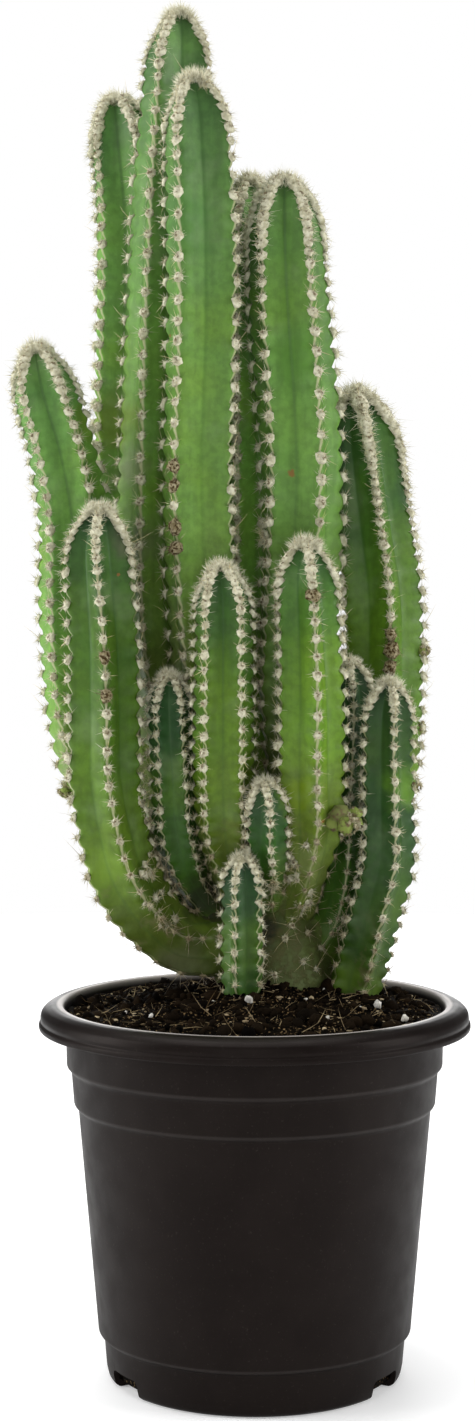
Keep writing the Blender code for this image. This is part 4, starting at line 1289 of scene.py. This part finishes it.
def build_soil():
    """The peat plug with a crumbly top, just inside the pot's wall."""
    wall = inner_wall()
    below = [(radius - SOIL_CLEARANCE, height) for radius, height in (wall[-1], wall[3])]
    floor = POT_FLOOR + SOIL_CLEARANCE
    below += [(wall[0][0] - SOIL_CLEARANCE, floor), (0.0, floor)]
    rings = [(SOIL_TOP_RADIUS * (ring + 0.01) / SOIL_RINGS, SOIL_EDGE_HEIGHT) for ring in range(SOIL_RINGS)]
    profile = [(0.0, SOIL_EDGE_HEIGHT)] + rings + [(SOIL_TOP_RADIUS, SOIL_EDGE_HEIGHT)] + below
    points, blocks = turned_part(profile, SOIL_STEPS)
    top = points[:, 2] == SOIL_EDGE_HEIGHT
    points[top, 2] = soil_height(points[top, 0], points[top, 1])
    soil = mesh_object("soil_plug", points + AXIS, blocks)
    make_outward(soil)
    dress(soil, peat_material(), "peat", "soil")


def ball_template(subdivisions):
    """Points and faces of a unit ball of triangles."""
    mesh = bmesh.new()
    bmesh.ops.create_icosphere(mesh, subdivisions=subdivisions, radius=1.0)
    points = np.array([vertex.co[:] for vertex in mesh.verts])
    faces = np.array([[vertex.index for vertex in face.verts] for face in mesh.faces])
    mesh.free()
    return points, faces


def lump_part(places, sizes, source, subdivisions, roughness, flatness=1.0):
    """Irregular lumps at places, each stretched and dented in its own way."""
    ball, faces = ball_template(subdivisions)
    count = len(places)
    stretch = source.uniform(0.65, 1.25, (count, 1, 3)) * np.array([1.0, 1.0, flatness])
    dents = 1.0 + source.uniform(-roughness, roughness, (count, len(ball), 1))
    points = places[:, None, :] + ball[None] * stretch * dents * sizes[:, None, None]
    tone = np.repeat(source.uniform(0.0, 1.0, count), len(ball))
    return points.reshape(-1, 3), [repeat_faces(faces, count, len(ball))], {"tone": tone}


def scattered(source, count, sink):
    """Places on the soil, evenly spread, and the soil's height there."""
    radius = (SOIL_TOP_RADIUS - LITTER_MARGIN) * np.sqrt(source.uniform(0.0, 1.0, count))
    turn = source.uniform(0.0, FULL_TURN, count)
    return on_soil(radius * np.cos(turn), radius * np.sin(turn), sink)


def on_soil(x, y, sink):
    """Places in the part's frame, so far under the soil's surface."""
    return np.stack([x, y, soil_height(x, y) - sink], axis=-1) + AXIS


def litter_part(source, count, sink, smallest, largest, *shape):
    """Lumps between two sizes, scattered on the soil."""
    places = scattered(source, count, sink)
    return lump_part(places, source.uniform(smallest, largest, count), source, *shape)


def fibre_part(source):
    """Bent fibres that lie on the soil or stick out of it, all inside the pot."""
    count = FIBRE_COUNT
    root = scattered(source, count, -0.0003)
    turn = source.uniform(0.0, FULL_TURN, count)
    rise = source.uniform(-0.3, 1.0, count) ** 3 * 1.5
    direction = unit(np.stack([np.cos(turn), np.sin(turn), rise], axis=-1))
    length = source.uniform(*FIBRE_LENGTHS, count)
    end = root + direction * length[:, None] - AXIS
    keep = np.hypot(end[:, 0], end[:, 1]) < SOIL_TOP_RADIUS - FIBRE_MARGIN
    bend = source.normal(0.0, FIBRE_BEND, (count, 3)) * length[:, None]
    thickness = source.uniform(*FIBRE_THICKNESS, keep.sum())
    tone = source.uniform(0.0, 1.0, keep.sum())
    return needle_part(root[keep], direction[keep], length[keep], thickness, {"tone": tone}, bend[keep])


def white_grain_part(source):
    """The white grains that the photograph shows, and a few small ones more."""
    x, y, radius = np.array(WHITE_GRAINS).T * MM
    places = np.concatenate([on_soil(x, y, -radius * GRAIN_RISE), scattered(source, SMALL_GRAINS, 0.0)])
    sizes = np.concatenate([radius, source.uniform(*SMALL_GRAIN_SIZES, SMALL_GRAINS)])
    grains = lump_part(places, sizes, source, 2, GRAIN_ROUGHNESS)
    grains[2]["tone"] = np.maximum(grains[2]["tone"], 0.5)
    return grains


def build_litter():
    """Crumbs, fibres, chips and white grains that lie on the peat."""
    source = np.random.default_rng(SOIL_SEED)
    crumbs = [litter_part(source, *CRUMBS), litter_part(source, *CLODS)]
    pieces = (("peat_crumbs", crumbs, "peat_crumb"),
              ("peat_fibres", [fibre_part(source)], "peat_fibre"),
              ("bark_chips", [litter_part(source, *CHIPS)], "bark_chip"),
              ("white_grains", [white_grain_part(source)], "white_grain"))
    for name, parts, look in pieces:
        dressed_mesh(name, parts, crumb_material(look, *LITTER_TONES[look]), "peat")


def arm_part(stem, line):
    """A round arm from the trunk to just under its stem's foot, thinning on its way."""
    foot = stem_foot(stem, line)
    count = max(4, round(foot / ARM_SPACING))
    distances = np.linspace(0.0, foot - ARM_END_GAP, count)
    centre, _, front, right = line.frames(distances)
    radius = stem.radius * MM * stem.foot * (1.0 + ARM_FLARE * (1.0 - distances / foot)) * ARM_UNDER_SKIN
    turn = np.arange(ARM_STEPS) / ARM_STEPS * FULL_TURN
    out = front[:, None] * np.cos(turn)[None, :, None] + right[:, None] * np.sin(turn)[None, :, None]
    points, blocks = closed_tube(centre[:, None] + out * radius[:, None, None], centre[0], centre[-1])
    return points, blocks, {}


def build_base(lines):
    """The old trunk and its arms, welded into one skin and smoothed, with a soft corky relief."""
    points, blocks = turned_part(TRUNK_PROFILE, TRUNK_STEPS)
    jointed = [stem for stem in STEMS if stem.joint is not None]
    arms = [arm_part(stem, lines[stem.name]) for stem in jointed]
    points, blocks, _ = join_parts([(points + TRUNK_CENTRE + AXIS, blocks, {}), *arms])
    base = mesh_object("base_bark", points, blocks)
    make_outward(base)
    remesh = base.modifiers.new("weld", "REMESH")
    remesh.mode = "VOXEL"
    remesh.voxel_size = BASE_VOXEL
    soften = base.modifiers.new("soften", "SMOOTH")
    soften.factor = 0.5
    soften.iterations = BASE_SOFTENING
    bpy.context.view_layer.update()
    apply_modifiers(base)
    add_base_relief(base, jointed, lines)
    base.data.shade_smooth()
    dress(base, bark_material(), "bark", "woody_base")


def add_base_relief(base, stems, lines):
    """Corky lumps, and how young each place is: the share of its arm that lies between it and the trunk."""
    samples = []
    for stem in stems:
        line = lines[stem.name]
        foot = stem_foot(stem, line)
        samples += [(line.points(foot * share), share) for share in np.linspace(0.0, 1.0, YOUTH_SAMPLES)]
    tree = KDTree(len(samples))
    for index, (place, _) in enumerate(samples):
        tree.insert(place, index)
    tree.balance()
    mesh = base.data
    youth = np.empty(len(mesh.vertices))
    for vertex in mesh.vertices:
        young = samples[tree.find(vertex.co)[1]][1]
        youth[vertex.index] = young
        lump = sum(noise.noise(vertex.co * cells) * height for cells, height in BARK_RELIEF)
        vertex.co += vertex.normal * (lump * (1.0 - YOUNG_BARK_CALM * young))
    layer = mesh.attributes.new("youth", "FLOAT", "POINT")
    layer.data.foreach_set("value", youth.astype(np.float32))


def build_stem(stem, line, materials, order):
    """One stem: its skin, its wool and its spines."""
    source = np.random.default_rng(STEM_SEED + order)
    places = [areole_places(stem, skin_length(stem, line), source) for _ in range(stem.ribs)]
    young = stem.name in YOUNG_STEMS
    tone = "young" if young else "sage" if stem.name in SAGE_STEMS else "green"
    slot = "young_skin" if young else "old_skin"
    dress(skin_piece(stem, line, places), materials[tone], slot, stem.name)
    areoles = stem_areoles(stem, line, places, source)
    if stem.joint is None:
        areoles = above(areoles, LOWEST_SOIL_AREOLE)
    if stem.name == "bud_stem":
        areoles = above(areoles, stem.joint * MM)
    wool = [pad_part(areoles, source), wool_hairs(areoles, source), tip_wool(stem, line, source)]
    dressed_mesh(stem.name.replace("stem", "wool"), wool, materials["wool"], slot)
    spines = [spine_part(areoles, SPINE_SCALE[0] + SPINE_SCALE[1] * girth(stem), source)]
    dressed_mesh(stem.name.replace("stem", "spines"), spines, materials["spine"], slot, smooth=False)


def above(areoles, height):
    """The areoles that lie above a height."""
    keep = areoles.place[:, 2] > height
    return Areoles(*(column[keep] for column in areoles))


def rib_side(stem, line, distances, directions):
    """Places on a stem's crest circle, with their outward, lengthwise and sideways directions."""
    centre, along, front, right = line.frames(distances)
    outward = front * np.cos(directions)[:, None] + right * np.sin(directions)[:, None]
    place = centre + outward * crest_radius(stem, line, distances)[:, None]
    return place, outward, along, np.cross(along, outward)


def nub_parts(stem, line, height, direction, size, rise, tuft_count, source):
    """The lumps of one dried nub and the areoles on it."""
    distances = np.array([line.distance_at_height(height * MM)])
    place, outward, along, _ = rib_side(stem, line, distances, np.radians([direction]))
    place = place + outward * rise * MM
    size = size * MM
    shift = unit(source.normal(0.0, 1.0, (NUB_LUMPS, 3))) * source.uniform(0.3, 0.75, (NUB_LUMPS, 1)) * size
    lumps = lump_part(place + shift, source.uniform(0.35, 0.65, NUB_LUMPS) * size, source, 2, NUB_ROUGHNESS)
    normal = unit(outward + source.normal(0.0, 0.7, (tuft_count, 3)))
    side = unit(np.cross(normal, along))
    tufts = Areoles(place + normal * size * 0.85, normal, np.cross(side, normal), side,
                    PAD_RADIUS * source.uniform(0.22, 0.50, tuft_count), source.uniform(0.4, 1.6, tuft_count))
    return lumps, tufts


def cluster_areoles(stem, line, height, direction, count, reach, source):
    """Crowded tufts round a place on a stem."""
    distances = line.distance_at_height(height * MM) + source.uniform(-1.0, 1.0, count) * reach * MM
    distances = np.clip(distances, 0.0, line.length - 0.0005)
    turn = math.radians(direction) + source.uniform(-0.5, 0.5, count) * reach / stem.radius
    place, outward, along, across = rib_side(stem, line, distances, turn)
    return Areoles(place - outward * TUFT_SINK, outward, along, across,
                   PAD_RADIUS * source.uniform(0.40, 0.85, count), source.uniform(0.0, 0.45, count))


def trunk_areoles(source):
    """Tufts on the front of the old trunk."""
    directions, heights = np.array(TRUNK_TUFTS, dtype=float).T
    turn = np.radians(directions)
    radii, levels = np.array(TRUNK_PROFILE[:-1]).T
    radius = np.interp(-heights * MM, -levels, radii)
    outward = np.stack([np.sin(turn), -np.cos(turn), np.full(len(turn), 0.2)], axis=-1)
    place = outward * radius[:, None]
    place[:, 2] = heights * MM
    up = np.tile([0.0, 0.0, 1.0], (len(turn), 1))
    normal = unit(outward)
    side = unit(np.cross(up, normal))
    return Areoles(place + TRUNK_CENTRE + AXIS, normal, np.cross(normal, side), side,
                   PAD_RADIUS * source.uniform(0.45, 0.75, len(turn)), source.uniform(0.2, 0.9, len(turn)))


def build_nubs(lines, materials):
    """Dried lumpy nubs on a few ribs, and the crowded tufts of the clump's foot."""
    source = np.random.default_rng(BASE_SEED)
    stems = {stem.name: stem for stem in STEMS}
    tufts = [trunk_areoles(source)]
    nubs = [nub_parts(stems[name], lines[name], *shape, source) for name, *shape in NUBS]
    tufts += [cluster_areoles(stems[name], lines[name], *shape, source) for name, *shape in CLUSTERS]
    lumps, nub_tufts = zip(*nubs)
    dressed_mesh("dried_nubs", lumps, nub_material(), "old_skin")
    areoles = merged([*nub_tufts, *tufts])
    wool = [pad_part(areoles, source), wool_hairs(areoles, source)]
    dressed_mesh("loose_wool", wool, materials["wool"], "old_skin")
    spines = [spine_part(merged(tufts), LOOSE_SPINE_SCALE, source)]
    dressed_mesh("loose_spines", spines, materials["spine"], "old_skin", smooth=False)


def build_floor():
    """A wide pale floor under the pot."""
    turn = np.arange(FLOOR_STEPS) / FLOOR_STEPS * FULL_TURN
    ring = np.stack([np.cos(turn), np.sin(turn), np.zeros(FLOOR_STEPS)], axis=-1) * FLOOR_RADIUS
    points = np.concatenate([ring, np.zeros((1, 3))])
    floor = mesh_object("floor", points, [fan_faces(0, FLOOR_STEPS, FLOOR_STEPS, False)])
    floor.data.materials.append(floor_material())


def set_up_light():
    """Soft studio light from the right, the left, the front, above and behind, and a pale surrounding."""
    target = Vector((float(AXIS[0]), float(AXIS[1]), LIGHT_TARGET_HEIGHT))
    for name, place, width, height, power in LIGHTS:
        light = bpy.data.lights.new(name, "AREA")
        light.shape = "RECTANGLE"
        light.size = width
        light.size_y = height
        light.energy = power
        lamp = new_object(name, light)
        lamp.location = place
        lamp.rotation_euler = (target - Vector(place)).to_track_quat("-Z", "Y").to_euler()
    world = bpy.data.worlds.new("studio")
    world.use_nodes = True
    bpy.context.scene.world = world
    tree = world.node_tree
    soft = tree.nodes["Background"]
    feed(tree, soft.inputs["Color"], WHITE)
    feed(tree, soft.inputs["Strength"], WORLD_STRENGTH)
    backdrop = add_node(tree, "Background", {"Color": WHITE, "Strength": BACKDROP_STRENGTH})
    seen = add_node(tree, "LightPath", {}).outputs["Is Camera Ray"]
    both = add_node(tree, "MixShader", {0: seen, 1: soft.outputs[0], 2: backdrop.outputs[0]})
    feed(tree, tree.nodes["World Output"].inputs["Surface"], both.outputs[0])


def set_up_camera():
    """The photograph's view: level, with a vertical shift for its horizon."""
    camera = bpy.data.cameras.new("camera")
    camera.sensor_width = SENSOR_MM
    camera.lens = SENSOR_MM * FOCAL_PX / IMAGE_HEIGHT_PX
    camera.shift_y = -(IMAGE_HEIGHT_PX / 2 - HORIZON_PX) / IMAGE_HEIGHT_PX
    camera.clip_start = 0.01
    viewer = new_object("camera", camera)
    viewer.location = (AXIS[0] + CAMERA_ASIDE, AXIS[1] - CAMERA_DISTANCE, CAMERA_HEIGHT)
    viewer.rotation_euler = (math.pi / 2, 0.0, 0.0)
    bpy.context.scene.camera = viewer
    bpy.context.scene.view_settings.view_transform = "Standard"


def main():
    lines = {stem.name: StemLine(stem.line) for stem in STEMS}
    materials = {name: skin_material(f"{name}_skin", tones) for name, tones in TONES.items()}
    materials["wool"] = wool_material()
    materials["spine"] = spine_material()
    build_pot()
    build_soil()
    build_litter()
    build_base(lines)
    for order, stem in enumerate(STEMS):
        build_stem(stem, lines[stem.name], materials, order)
    build_nubs(lines, materials)
    build_floor()
    set_up_light()
    set_up_camera()


main()
